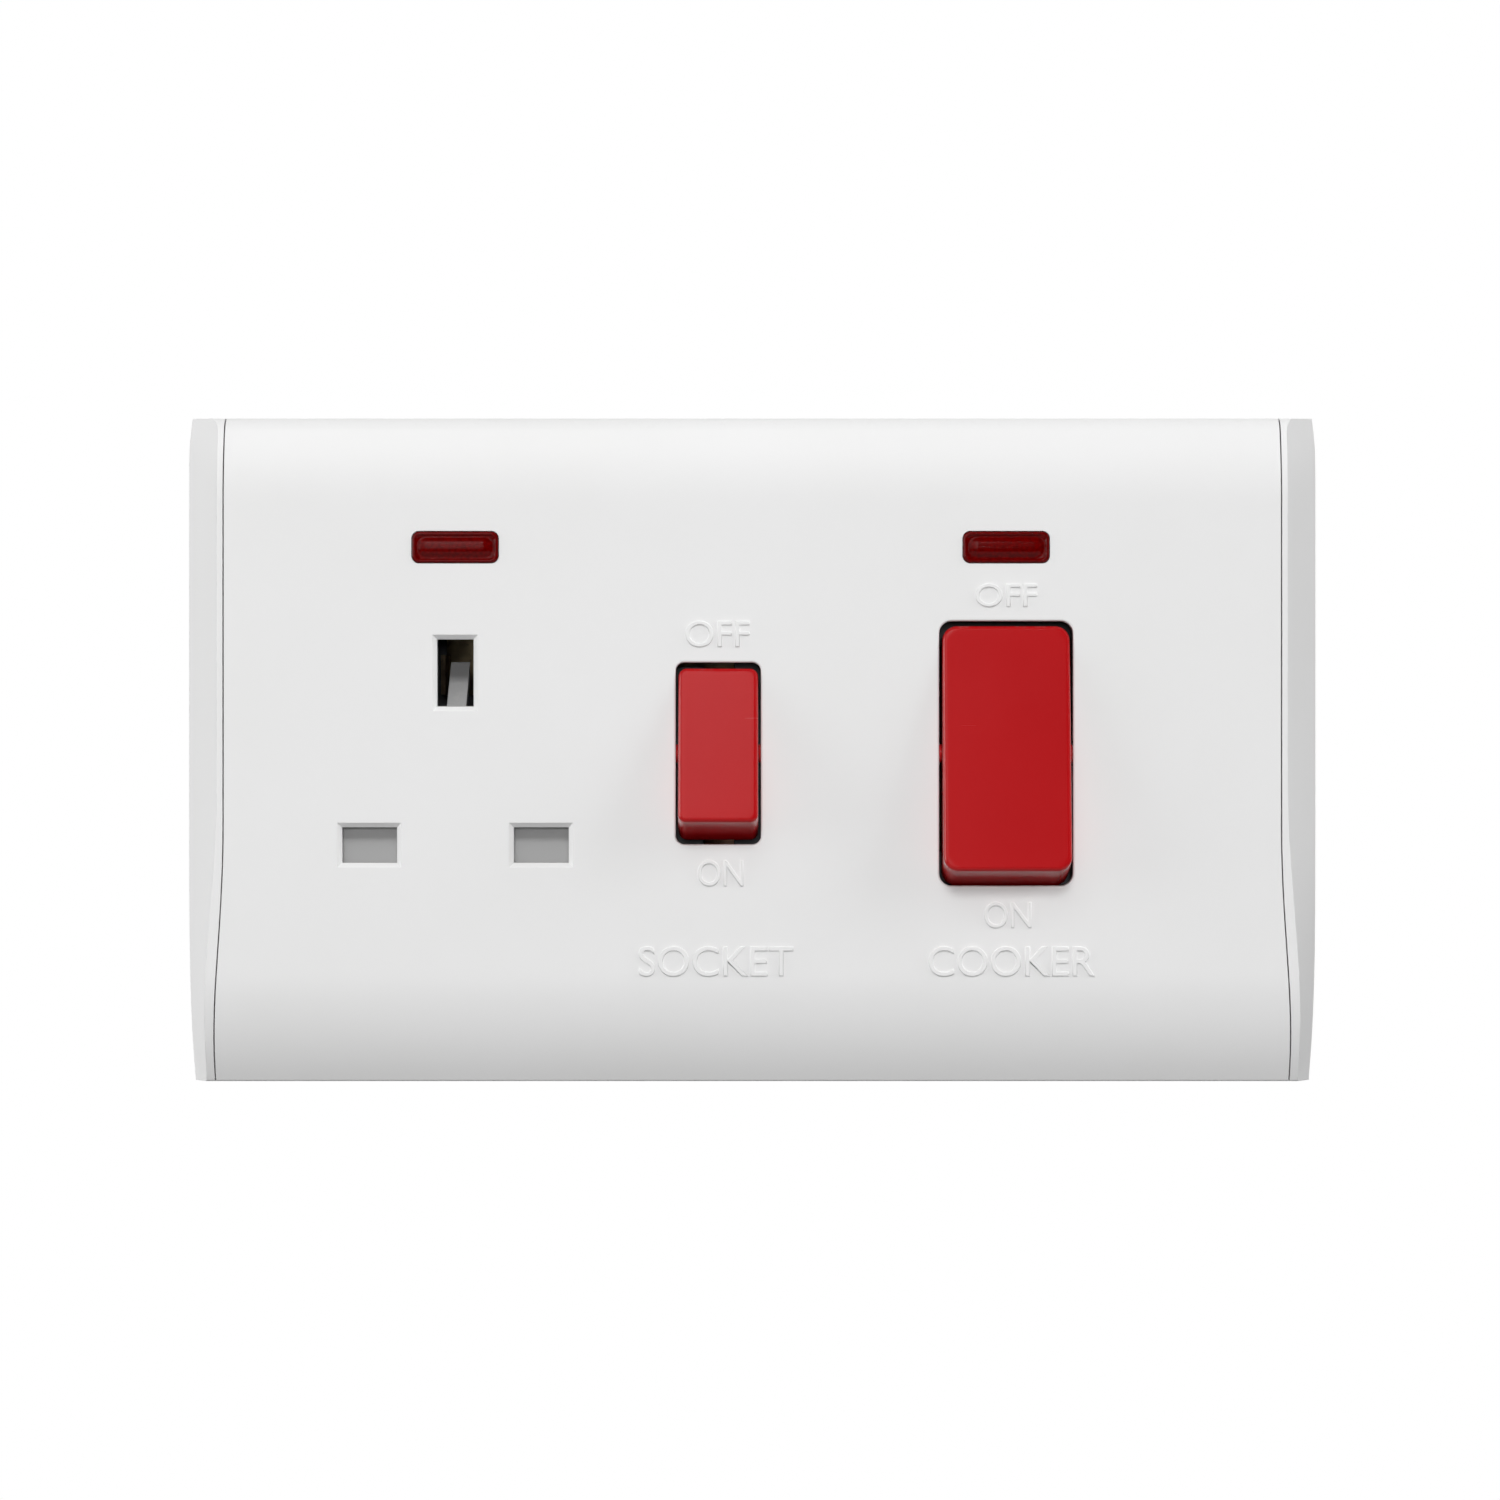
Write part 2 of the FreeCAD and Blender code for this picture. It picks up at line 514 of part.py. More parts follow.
cuts = [
    block(FLAP_REACH[0] - side_clear, FLAP_REACH[1] + side_clear, track, high,
          FLAP_Z[0] - SHUTTER_TRAVEL - 0.3, FLAP_Z[1] + 0.3),
    block(SOCKET_X - SPINE_HALF - side_clear, SOCKET_X + SPINE_HALF + side_clear, track, high,
          FLAP_Z[0], 6.4),
    block(SOCKET_X - 2.9, SOCKET_X + 2.9, FLANGE_THICK - 1, high, -2.2, 14.8),
]
for pin_x in (LIVE_PIN_X, NEUTRAL_PIN_X):
    cuts.append(block(pin_x - 3.6, pin_x + 3.6, FLANGE_THICK - 1, high, PIN_Z - 2.5, PIN_Z + 2.5))
cuts = cuts + neon_room(SOCKET_X)
carrier = less(carrier, cuts)
carrier = joined([carrier, block(SOCKET_X - 1.5, SOCKET_X + 1.5, SHUTTER_BACK - 0.6, 7.0, SPRING_Z[0] - 1.6, SPRING_Z[0])])


def screw_seats(x0, x1):
    """Screw holes of the bodies between two places across."""
    seats = []
    for x, z in SCREW_SPOTS:
        if x0 < x < x1:
            seats.append(rod_y(SCREW_SHANK + 0.15, FLANGE_THICK - 1, high, x, z))
            seats.append(rod_y(SCREW_HEAD + 0.3, SCREW_FLOOR, high, x, z))
    return seats


save("shutter_carrier", less(carrier, screw_seats(-CARRIER_END, -16)))


def switch_body(x0, x1, centre, well, opening):
    """Moulding around a rocker, with half-round saddles for its two pins."""
    body = block(x0, x1, FLANGE_THICK, CARRIER_TOP, -CARRIER_HALF, CARRIER_HALF)
    reach = opening[0] / 2 + 2.8
    saddle = rod_x(TRUNNION + RUNNING_FIT, centre - reach, centre + reach, PIVOT, ROCKER_Z)
    width = TRUNNION + RUNNING_FIT
    mouth = block(centre - reach, centre + reach, PIVOT, high, ROCKER_Z - width, ROCKER_Z + width)
    hollow = block(centre - well[0], centre + well[0], 0, high, ROCKER_Z - well[1], ROCKER_Z + well[1])
    return less(body, [hollow, saddle, mouth] + screw_seats(x0, x1))


SMALL_BODY = (-15.8, 16.8)
LARGE_BODY = (17.0, CARRIER_END)
save("socket_switch_body", switch_body(SMALL_BODY[0], SMALL_BODY[1], SMALL_X, SMALL_WELL, SMALL_OPENING))
cooker_body = switch_body(LARGE_BODY[0], LARGE_BODY[1], LARGE_X, LARGE_WELL, LARGE_OPENING)
save("cooker_switch_body", less(cooker_body, neon_room(LARGE_X)))

# Shutter: two flaps, a spine with a window for the spring, and the ramp the earth pin pushes
flaps = block(FLAP_REACH[0], FLAP_REACH[1], SHUTTER_BACK, SHUTTER_FRONT, FLAP_Z[0], FLAP_Z[1])
spine = block(SOCKET_X - SPINE_HALF, SOCKET_X + SPINE_HALF, SHUTTER_BACK, SHUTTER_FRONT, FLAP_Z[0], 5.7)
ramp_points = [(RAMP_Z[0] + 1.5, SHUTTER_FRONT), (RAMP_Z[1], RAMP_BACK), (RAMP_Z[1] - 2.2, RAMP_BACK),
               (RAMP_Z[0], SHUTTER_BACK), (RAMP_Z[0], SHUTTER_FRONT)]
ramp_wire = Part.makePolygon([at(SOCKET_X - 1.25, d, z) for z, d in ramp_points + ramp_points[:1]])
ramp = Part.Face(ramp_wire).extrude(FreeCAD.Vector(2.5, 0, 0))
window = block(SOCKET_X - 1.9, SOCKET_X + 1.9, 0, 8, SPRING_Z[0] - 2.6, SPRING_Z[1])
shutter = joined([flaps, spine]).cut(window)
save("shutter", joined([shutter, ramp]))


def coil(radius, wire, length, turns, start, direction):
    """Round coil spring of square wire, its axis from the start along the direction."""
    pitch = (length - 2 * wire) / turns
    helix = Part.makeHelix(pitch, pitch * turns, radius)
    half = wire
    corners = [(-half, -half), (half, -half), (half, half), (-half, half), (-half, -half)]
    section = Part.makePolygon([FreeCAD.Vector(radius + u, 0, v) for u, v in corners])
    spring = Part.Wire(helix).makePipeShell([section], True, True)
    spring.translate(FreeCAD.Vector(0, 0, wire))
    spring.Placement = FreeCAD.Placement(start, FreeCAD.Rotation(FreeCAD.Vector(0, 0, 1), direction)).multiply(spring.Placement)
    return spring


up = FreeCAD.Vector(0, 0, 1)
spring_start = at(SOCKET_X, SPRING_DEPTH, SPRING_Z[0] + 0.05)
save("shutter_spring", coil(SPRING_RADIUS, WIRE, SPRING_Z[1] - SPRING_Z[0] - 0.1, 9, spring_start, up))


def rocker(half, front, draft, corner, tube_xs, tube):
    """Rocker about its pins at the origin: front face flat, ends drawn in towards the front.

    tube gives the outer and inner radius of each plunger tube and how far back it reaches."""
    rise = math.tan(math.radians(draft)) * (front + ROCKER_SKIRT)
    corners = [
        (half[1], front), (half[1] + rise, -ROCKER_SKIRT),
        (-half[1] - rise, -ROCKER_SKIRT), (-half[1], front), (half[1], front)]
    wire = Part.makePolygon([at(-half[0], d, z) for z, d in corners])
    body = Part.Face(wire).extrude(FreeCAD.Vector(2 * half[0], 0, 0))
    uprights = [e for e in body.Edges if abs(e.CenterOfMass.z) > half[1] - 0.1 and e.BoundBox.YLength > 1]
    body = body.makeFillet(corner, uprights)
    front_edges = [e for e in body.Edges if abs(e.BoundBox.YMax + front) < 0.001]
    body = body.makeFillet(ROCKER_EDGE, front_edges)
    hollow = block(ROCKER_WALL - half[0], half[0] - ROCKER_WALL, -ROCKER_SKIRT - 1, front - 2.0,
                   ROCKER_WALL - half[1], half[1] - ROCKER_WALL)
    parts = [body.cut(hollow)]
    for x in tube_xs:
        parts.append(rod_y(tube[0], -tube[2], front - 1.5, x, 0))
    whole_rocker = joined(parts)
    for x in tube_xs:
        whole_rocker = whole_rocker.cut(rod_y(tube[1], -tube[2] - 1, front - 2.0, x, 0))
    pins = [rod_x(TRUNNION, s[0], s[1], 0, 0) for s in ((half[0] - 1.0, half[0] + 3.0), (-half[0] - 3.0, 1.0 - half[0]))]
    return joined([whole_rocker] + pins)


def plunger(radius, inner, tip, x):
    """Plunger with a round nose, from its inner end to its tip behind the pins."""
    nose = Part.makeSphere(radius, at(x, radius - tip, 0))
    return joined([rod_y(radius, radius - tip, -inner, x, 0), nose])


def place(shape, x, tilt):
    """Tip a rocker's part about the pins and carry it to its opening."""
    turned = shape.copy()
    turned.rotate(FreeCAD.Vector(0, 0, 0), FreeCAD.Vector(1, 0, 0), -tilt)
    turned.translate(at(x, PIVOT, ROCKER_Z))
    return turned


into_wall = FreeCAD.Vector(0, 1, 0)
SMALL_TUBE = (2.3, 1.5, 8.0)
LARGE_TUBE = (2.5, 1.75, 10.5)
SMALL_TIP = 12.0
LARGE_TIP = 16.0
SMALL_PLUNGER = (1.45, 5.5)
LARGE_PLUNGER = (1.7, 7.0)
small_rocker = rocker(SMALL_HALF, SMALL_FRONT, SMALL_DRAFT, SMALL_CORNER, (0.0,), SMALL_TUBE)
large_rocker = rocker(LARGE_HALF, LARGE_FRONT, LARGE_DRAFT, LARGE_CORNER, (-POLE_OFFSET, POLE_OFFSET), LARGE_TUBE)
save("socket_rocker", place(small_rocker, SMALL_X, SMALL_TILT))
save("cooker_rocker", place(large_rocker, LARGE_X, LARGE_TILT))
save("socket_plunger", place(plunger(SMALL_PLUNGER[0], SMALL_PLUNGER[1], SMALL_TIP, 0.0), SMALL_X, SMALL_TILT))
noses = [plunger(LARGE_PLUNGER[0], LARGE_PLUNGER[1], LARGE_TIP, x) for x in (-POLE_OFFSET, POLE_OFFSET)]
save("cooker_plungers", place(Part.makeCompound(noses), LARGE_X, LARGE_TILT), 2)
small_spring = coil(1.15, 0.2, SMALL_PLUNGER[1] + SMALL_FRONT - 2.0, 6, at(0, SMALL_FRONT - 2.0, 0), into_wall)
save("socket_plunger_spring", place(small_spring, SMALL_X, SMALL_TILT))
length = LARGE_PLUNGER[1] + LARGE_FRONT - 2.0
large_springs = [coil(1.3, 0.25, length, 6, at(x, LARGE_FRONT - 2.0, 0), into_wall) for x in (-POLE_OFFSET, POLE_OFFSET)]
save("cooker_plunger_springs", place(Part.makeCompound(large_springs), LARGE_X, LARGE_TILT), 2)


def moving_bar(x, depth, thick, reach):
    """Contact bar tipped open on its knife edge, a round contact under its far end."""
    bar = block(-BAR_WIDTH / 2, BAR_WIDTH / 2, 0, thick, -0.55 * reach, reach + 1.7)
    groove = rod_x(KNIFE + RUNNING_FIT, -BAR_WIDTH, BAR_WIDTH, 0, 0)
    button = rod_y(1.6, -BUTTON, 0.01, 0, reach)
    tipped = joined([bar.cut(groove), button])
    tipped.rotate(FreeCAD.Vector(0, 0, 0), FreeCAD.Vector(1, 0, 0), BAR_TILT)
    tipped.translate(at(x, depth, ROCKER_Z))
    return tipped


save("socket_moving_contact", moving_bar(SMALL_X, SMALL_BAR, SMALL_BAR_THICK, SMALL_REACH))
save("cooker_live_moving_contact", moving_bar(POLES[0], LARGE_BAR, LARGE_BAR_THICK, LARGE_REACH))
save("cooker_neutral_moving_contact", moving_bar(POLES[1], LARGE_BAR, LARGE_BAR_THICK, LARGE_REACH))


def knife_post(x, depth, foot):
    """Post with a round edge on which a bar tips."""
    post = block(x - BAR_WIDTH / 2, x + BAR_WIDTH / 2, foot, depth, ROCKER_Z - KNIFE, ROCKER_Z + KNIFE)
    return post.fuse(rod_x(KNIFE, x - BAR_WIDTH / 2, x + BAR_WIDTH / 2, depth, ROCKER_Z))


def domed_contact(x, dome, foot):
    """Fixed contact: a short round stud with a domed top."""
    stud = rod_y(1.6, foot, dome[1] + BALL + 1, x, dome[0])
    ball = Part.makeSphere(BALL, at(x, dome[1], dome[0]))
    return stud.common(ball)


def terminal(x, sign):
    """Brass block with a blind cable bore and a threaded hole for its screw."""
    z0, z1 = sorted((sign * TERMINAL_Z[0], sign * TERMINAL_Z[1]))
    body = block(x - TERMINAL_HALF, x + TERMINAL_HALF, TERMINAL_DEPTH[0], TERMINAL_DEPTH[1], z0, z1)
    body = rounded(body, "z", 0.6)
    z0, z1 = sorted((sign * (TERMINAL_Z[1] - TERMINAL_BORE_LENGTH), sign * (TERMINAL_Z[1] + 1)))
    bore = rod_z(TERMINAL_BORE, z0, z1, x, TERMINAL_BORE_DEPTH)
    hole = rod_y(SCREW_HOLE, TERMINAL_DEPTH[0] - 1, TERMINAL_BORE_DEPTH, x, sign * TERMINAL_SCREW_Z)
    return less(body, [bore, hole])


SCREW_HOLE = 2.05
TERMINAL_SCREW_Z = TERMINAL_Z[0] + 4.9
pole_strip_front = POLE_BACK + STRIP
shapes = {}
for node, x in TOP_TERMINALS:
    shapes[node] = [terminal(x, 1)]
for node, x in LOW_TERMINALS:
    shapes[node] = [terminal(x, -1)]
for pole, load, supply in ((POLES[0], "load_live_terminal", "supply_live_terminal"),
                           (POLES[1], "load_neutral_terminal", "supply_neutral_terminal")):
    half = BAR_WIDTH / 2
    shapes[load].append(block(pole - half, pole + half, LARGE_STRIP - STRIP, LARGE_STRIP, 7.2, TERMINAL_Z[0]))
    shapes[load].append(domed_contact(pole, large_dome, LARGE_STRIP))
    low = block(pole - half, pole + half, POLE_BACK, pole_strip_front, -TERMINAL_Z[0], ROCKER_Z + KNIFE)
    shapes[supply].append(low)
    shapes[supply].append(knife_post(pole, LARGE_BAR, pole_strip_front))
for node, solids in shapes.items():
    save(node, joined(solids))


def slotted_screw(x, z, seat, length, shank, head, thick, outward):
    """Screw with a flat slotted head: outward is 1 for a head to the room, -1 to the back."""
    if outward > 0:
        body = joined([rod_y(shank, seat - length, seat, x, z), rod_y(head, seat, seat + thick, x, z)])
        groove = block(x - head, x + head, seat + thick * 0.4, seat + thick + 1, z - 0.4, z + 0.4)
    else:
        body = joined([rod_y(shank, seat, seat + length, x, z), rod_y(head, seat - thick, seat, x, z)])
        groove = block(x - head, x + head, seat - thick - 1, seat - thick * 0.4, z - 0.4, z + 0.4)
    return body.cut(groove)


screws = []
for node, x in TOP_TERMINALS:
    screws.append(slotted_screw(x, TERMINAL_SCREW_Z, TERMINAL_DEPTH[0], 3.2, 2.0, 3.2, 1.5, -1))
for node, x in LOW_TERMINALS:
    screws.append(slotted_screw(x, -TERMINAL_SCREW_Z, TERMINAL_DEPTH[0], 3.2, 2.0, 3.2, 1.5, -1))
save("terminal_screws", Part.makeCompound(screws), 6)
fixings = [slotted_screw(x, z, SCREW_FLOOR, 8.4, SCREW_SHANK, SCREW_HEAD, 1.6, 1) for x, z in SCREW_SPOTS]
save("mechanism_screws", Part.makeCompound(fixings), 6)
base_screws = []
for side in (-1, 1):
    for sign in (-1, 1):
        base_screws.append(slotted_screw(side * BOSS_X, sign * BOSS_Z, 0.0, 5.2, 1.25, 2.5, 1.5, -1))
save("base_screws", Part.makeCompound(base_screws), 4)

# Links between the terminals, the socket switch and the socket contacts
half = BAR_WIDTH / 2 - 0.2
live_link = joined([
    knife_post(SMALL_X, SMALL_BAR, LINK_BACK),
    block(SMALL_X - half, SMALL_X + half, LINK_BACK, LINK_BACK + STRIP, LINK_RUN[0], ROCKER_Z + KNIFE),
    block(SMALL_X - half, LIVE_X - TERMINAL_HALF, LINK_BACK, LINK_BACK + STRIP, LINK_RUN[0], LINK_RUN[1]),
])
save("live_link", live_link)
LEAF = 0.6
GRIP = 2.05
MOUTH = 0.6


def pin_grip(x):
    """Two spring leaves above and below a flat pin, joined behind it."""
    web = block(x - 2.8, x + 2.8, strip_floor, SMALL_STRIP, PIN_Z - GRIP - LEAF, PIN_Z + GRIP + LEAF)
    low = block(x - 2.8, x + 2.8, strip_floor, MOUTH, PIN_Z - GRIP - LEAF, PIN_Z - GRIP)
    high_leaf = block(x - 2.8, x + 2.8, strip_floor, MOUTH, PIN_Z + GRIP, PIN_Z + GRIP + LEAF)
    return [web, low, high_leaf]


live_contact = pin_grip(LIVE_PIN_X) + [
    block(LIVE_PIN_X - half, LIVE_PIN_X + half, strip_floor, SMALL_STRIP, PIN_Z, LIVE_RUN[1]),
    block(LIVE_PIN_X - half, SMALL_X + half, strip_floor, SMALL_STRIP, LIVE_RUN[0], LIVE_RUN[1]),
    block(SMALL_X - half, SMALL_X + half, strip_floor, SMALL_STRIP, 4.4, LIVE_RUN[1]),
    domed_contact(SMALL_X, small_dome, SMALL_STRIP),
]
save("socket_live_contact", joined(live_contact))
neutral_floor = NEUTRAL_STRIP - STRIP
tail = PIN_Z - 7.6
neutral_contact = pin_grip(NEUTRAL_PIN_X) + [
    block(NEUTRAL_PIN_X - half, NEUTRAL_PIN_X + half, strip_floor, SMALL_STRIP, tail, PIN_Z),
    block(NEUTRAL_PIN_X - half, NEUTRAL_PIN_X + half, strip_floor, NEUTRAL_STRIP, tail, tail + STRIP),
    block(NEUTRAL_PIN_X - half, NEUTRAL_PIN_X + half, neutral_floor, NEUTRAL_STRIP, NEUTRAL_RUN[0], tail + STRIP),
]
save("socket_neutral_contact", joined(neutral_contact))
neutral_link = joined([
    block(NEUTRAL_PIN_X + half, NEUTRAL_X + half, neutral_floor, NEUTRAL_STRIP, NEUTRAL_RUN[0], NEUTRAL_RUN[1]),
    block(NEUTRAL_X - half, NEUTRAL_X + half, TERMINAL_DEPTH[1], NEUTRAL_STRIP, NEUTRAL_RUN[0], NEUTRAL_RUN[1]),
])
save("neutral_link", neutral_link)
earth_floor = EARTH_STRIP - STRIP
earth_contact = joined([
    block(SOCKET_X - 2.6, SOCKET_X + 2.6, earth_floor, EARTH_STRIP, EARTH_Z - 2.6, STRIP_END - 3.6),
    block(SOCKET_X - GRIP - LEAF, SOCKET_X - GRIP, earth_floor, -2.8, EARTH_Z - 2.6, EARTH_Z + 2.6),
    block(SOCKET_X + GRIP, SOCKET_X + GRIP + LEAF, earth_floor, -2.8, EARTH_Z - 2.6, EARTH_Z + 2.6),
    block(EARTH_X[0] - 2.2, EARTH_X[1] + 2.2, earth_floor, EARTH_STRIP, STRIP_END - 4.1, TERMINAL_Z[0]),
])
save("earth_contact", earth_contact)


def neon_lens(x):
    """Clear red window with a flange behind the face and a pillow-shaped front."""
    body = rounded_opening(x, NEON_Z, NEON_SIZE, NEON_CORNER - 0.05, 6.7, FACE + 0.25)
    rim_front = [e for e in body.Edges if abs(e.BoundBox.YMax + FACE + 0.25) < 0.001]
    body = body.makeFillet(0.3, rim_front)
    flange_block = rounded_opening(x, NEON_Z, (13.0, 6.0), NEON_CORNER, 6.5, FACE - WALL)
    return joined([body, flange_block])


def neon_lamp(x):
    """Small glass lamp lying behind the lens, its wires going down to the resistor."""
    glass = rod_x(1.45, x - 4.2, x + 4.2, 4.95, NEON_Z)
    glass = glass.makeFillet(0.8, [e for e in glass.Edges if len(e.Vertexes) == 1])
    return glass


def neon_resistor(x):
    """Resistor with its two wires bent up to the lamp's ends."""
    low = NEON_Z - 5.3
    body = rod_x(0.95, x - 3.0, x + 3.0, 4.4, low)
    body = body.makeFillet(0.3, [e for e in body.Edges if len(e.Vertexes) == 1])
    wires = []
    for side in (-1, 1):
        x0, x1 = sorted((side * 2.5, side * 5.1))
        wires.append(rod_x(0.25, x + x0, x + x1, 4.4, low))
        wires.append(rod_z(0.3, low - 0.5, NEON_Z, x + side * 5.1, 4.4))
    return joined([body] + wires)


for node, x in (("socket", SOCKET_X), ("cooker", LARGE_X)):
    save(node + "_neon_lens", neon_lens(x))
    save(node + "_neon_lamp", neon_lamp(x))
    save(node + "_neon_resistor", neon_resistor(x))
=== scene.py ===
import json
import math
import bmesh
import bpy
import numpy as np
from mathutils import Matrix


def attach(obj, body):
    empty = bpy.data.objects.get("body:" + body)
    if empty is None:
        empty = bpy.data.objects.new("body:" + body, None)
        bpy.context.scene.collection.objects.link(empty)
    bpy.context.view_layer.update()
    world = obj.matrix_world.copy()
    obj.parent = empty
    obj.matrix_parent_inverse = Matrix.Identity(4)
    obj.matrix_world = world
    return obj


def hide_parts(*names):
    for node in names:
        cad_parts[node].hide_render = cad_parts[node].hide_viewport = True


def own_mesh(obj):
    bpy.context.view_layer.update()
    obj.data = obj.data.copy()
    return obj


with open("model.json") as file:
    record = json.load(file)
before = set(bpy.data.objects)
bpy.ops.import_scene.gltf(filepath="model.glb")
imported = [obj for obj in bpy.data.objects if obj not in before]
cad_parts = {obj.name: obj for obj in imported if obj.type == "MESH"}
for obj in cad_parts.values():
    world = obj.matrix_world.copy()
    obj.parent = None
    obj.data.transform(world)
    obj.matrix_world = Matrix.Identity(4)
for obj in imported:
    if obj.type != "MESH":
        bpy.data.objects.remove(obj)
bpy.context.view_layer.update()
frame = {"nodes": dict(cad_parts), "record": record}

MM = 0.001

# Places on the plate, in millimetres: across, up, and depth in front of the wall
FACE = 9.5
PLATE_HALF_HEIGHT = 43.0
SOCKET_X = -38.4
LARGE_ROCKER_X = 32.8
NEON_Z = 26.2


# Node helpers

def maths(tree, operation, first, second, third=None):
    """Math node on sockets or plain numbers; returns its output socket."""
    node = tree.nodes.new("ShaderNodeMath")
    node.operation = operation
    for place, value in enumerate((first, second, third)):
        if value is None:
            continue
        if isinstance(value, (int, float)):
            node.inputs[place].default_value = value
        else:
            tree.links.new(value, node.inputs[place])
    return node.outputs[0]


def ramp(tree, source, low, high, start=0.0, end=1.0):
    """Value that goes evenly from start to end while the source goes from low to high."""
    node = tree.nodes.new("ShaderNodeMapRange")
    node.clamp = True
    tree.links.new(source, node.inputs["Value"])
    for name, value in (("From Min", low), ("From Max", high), ("To Min", start), ("To Max", end)):
        node.inputs[name].default_value = value
    return node.outputs["Result"]


def blend_colour(tree, factor, first, second):
    """Mix two colours, each a socket or four numbers, by a factor socket."""
    node = tree.nodes.new("ShaderNodeMix")
    node.data_type = "RGBA"
    tree.links.new(factor, node.inputs["Factor"])
    for place, value in ((6, first), (7, second)):
        if isinstance(value, tuple):
            node.inputs[place].default_value = value
        else:
            tree.links.new(value, node.inputs[place])
    return node.outputs[2]


def start_group(name, inputs, outputs):
    """New shader group: a position and number inputs with their defaults, and named number outputs."""
    tree = bpy.data.node_groups.new(name, "ShaderNodeTree")
    tree.interface.new_socket(name="Position", in_out="INPUT", socket_type="NodeSocketVector")
    for label, value in inputs:
        socket = tree.interface.new_socket(name=label, in_out="INPUT", socket_type="NodeSocketFloat")
        socket.default_value = value
    for label in outputs:
        tree.interface.new_socket(name=label, in_out="OUTPUT", socket_type="NodeSocketFloat")
    return tree, tree.nodes.new("NodeGroupInput"), tree.nodes.new("NodeGroupOutput")


def noise(tree, position, scale, detail=2.0, roughness=0.5):
    """Noise over a position socket; scale is a number or a socket, in waves per metre."""
    node = tree.nodes.new("ShaderNodeTexNoise")
    tree.links.new(position, node.inputs["Vector"])
    if isinstance(scale, (int, float)):
        node.inputs["Scale"].default_value = scale
    else:
        tree.links.new(scale, node.inputs["Scale"])
    node.inputs["Detail"].default_value = detail
    node.inputs["Roughness"].default_value = roughness
    return node.outputs["Fac"]


def stretched(tree, position, turn, factors):
    """Position turned about Y and scaled, for marks that run one way."""
    node = tree.nodes.new("ShaderNodeMapping")
    tree.links.new(position, node.inputs["Vector"])
    node.inputs["Rotation"].default_value = (0.0, turn, 0.0)
    node.inputs["Scale"].default_value = factors
    return node.outputs["Vector"]


def parts_of(tree, vector):
    """The three numbers of a vector socket."""
    split = tree.nodes.new("ShaderNodeSeparateXYZ")
    tree.links.new(vector, split.inputs[0])
    return split.outputs


# Effects that the materials share

def make_moulded_grain():
    """Skin of a moulded plastic: a fine sparkle, a slow waviness and soft cloudy mottling."""
    tree, given, out = start_group("moulded_grain", [("Fine", 2600.0), ("Slow", 120.0)], ["Height", "Mottle"])
    position = given.outputs["Position"]
    fine = noise(tree, position, given.outputs["Fine"], 3.0)
    slow = noise(tree, position, given.outputs["Slow"], 1.0)
    tree.links.new(maths(tree, "MULTIPLY_ADD", fine, 0.35, slow), out.inputs["Height"])
    mottle = noise(tree, position, 34.0, 4.0, 0.6)
    tree.links.new(ramp(tree, mottle, 0.35, 0.7), out.inputs["Mottle"])
    return tree


def make_handling():
    """Marks of use: hairline scratches two ways, finger smudges, and dust that lies on what faces up."""
    tree, given, out = start_group("handling", [("Scratch Scale", 60.0)], ["Scratches", "Smudges", "Dust"])
    position = given.outputs["Position"]
    lines = []
    for turn, factors in ((0.5, (1.0, 1.0, 26.0)), (-0.9, (1.0, 1.0, 34.0))):
        run = stretched(tree, position, turn, factors)
        lines.append(ramp(tree, noise(tree, run, given.outputs["Scratch Scale"], 2.0, 0.7), 0.70, 0.76))
    broken = ramp(tree, noise(tree, position, 45.0, 1.0), 0.5, 0.62)
    both = maths(tree, "MAXIMUM", lines[0], lines[1])
    tree.links.new(maths(tree, "MULTIPLY", both, broken), out.inputs["Scratches"])
    smudge = ramp(tree, noise(tree, position, 52.0, 3.0, 0.65), 0.48, 0.72)
    tree.links.new(smudge, out.inputs["Smudges"])
    facing = tree.nodes.new("ShaderNodeNewGeometry")
    upward = ramp(tree, parts_of(tree, facing.outputs["Normal"])[2], 0.25, 0.95)
    specks = ramp(tree, noise(tree, position, 900.0, 3.0, 0.8), 0.52, 0.7)
    tree.links.new(maths(tree, "MULTIPLY", upward, specks), out.inputs["Dust"])
    return tree


def make_tarnish():
    """Metal that has been handled: cloudy tarnish, darker spots and fine drawn lines along Z."""
    tree, given, out = start_group("tarnish", [("Lines", 900.0)], ["Cloud", "Spots", "Height"])
    position = given.outputs["Position"]
    tree.links.new(ramp(tree, noise(tree, position, 210.0, 4.0, 0.6), 0.38, 0.72), out.inputs["Cloud"])
    tree.links.new(ramp(tree, noise(tree, position, 800.0, 2.0), 0.64, 0.72), out.inputs["Spots"])
    run = stretched(tree, position, 0.0, (1.0, 1.0, 0.06))
    tree.links.new(noise(tree, run, given.outputs["Lines"], 2.0), out.inputs["Height"])
    return tree


MOULDED_GRAIN = make_moulded_grain()
HANDLING = make_handling()
TARNISH = make_tarnish()


# Materials: depths of the bumps, how strongly each effect shows, and the small patterns

GRAIN_DEPTH = 0.04 * MM
LINE_DEPTH = 0.03 * MM
PEBBLE_DEPTH = 0.03 * MM
LACQUER_DEPTH = 0.03 * MM
METAL_EDGE = 0.1 * MM
PLASTIC_IOR = 1.49
DUST_COLOUR = (0.55, 0.53, 0.50, 1.0)
DUST_COVER = 0.22
CLOUDING = 0.6
SMUDGE_ROUGHENS = 0.10
SCRATCH_ROUGHENS = 0.18
TARNISH_ROUGHENS = 0.16
SPOT_BRIGHTNESS = 0.45
SPOT_COVER = 0.5
PEBBLES_PER_METRE = 2400.0
BAND_STEP = 1.2 * MM
BAND_START = 0.52 * MM
BAND_SOFT_EDGE = 0.04 * MM


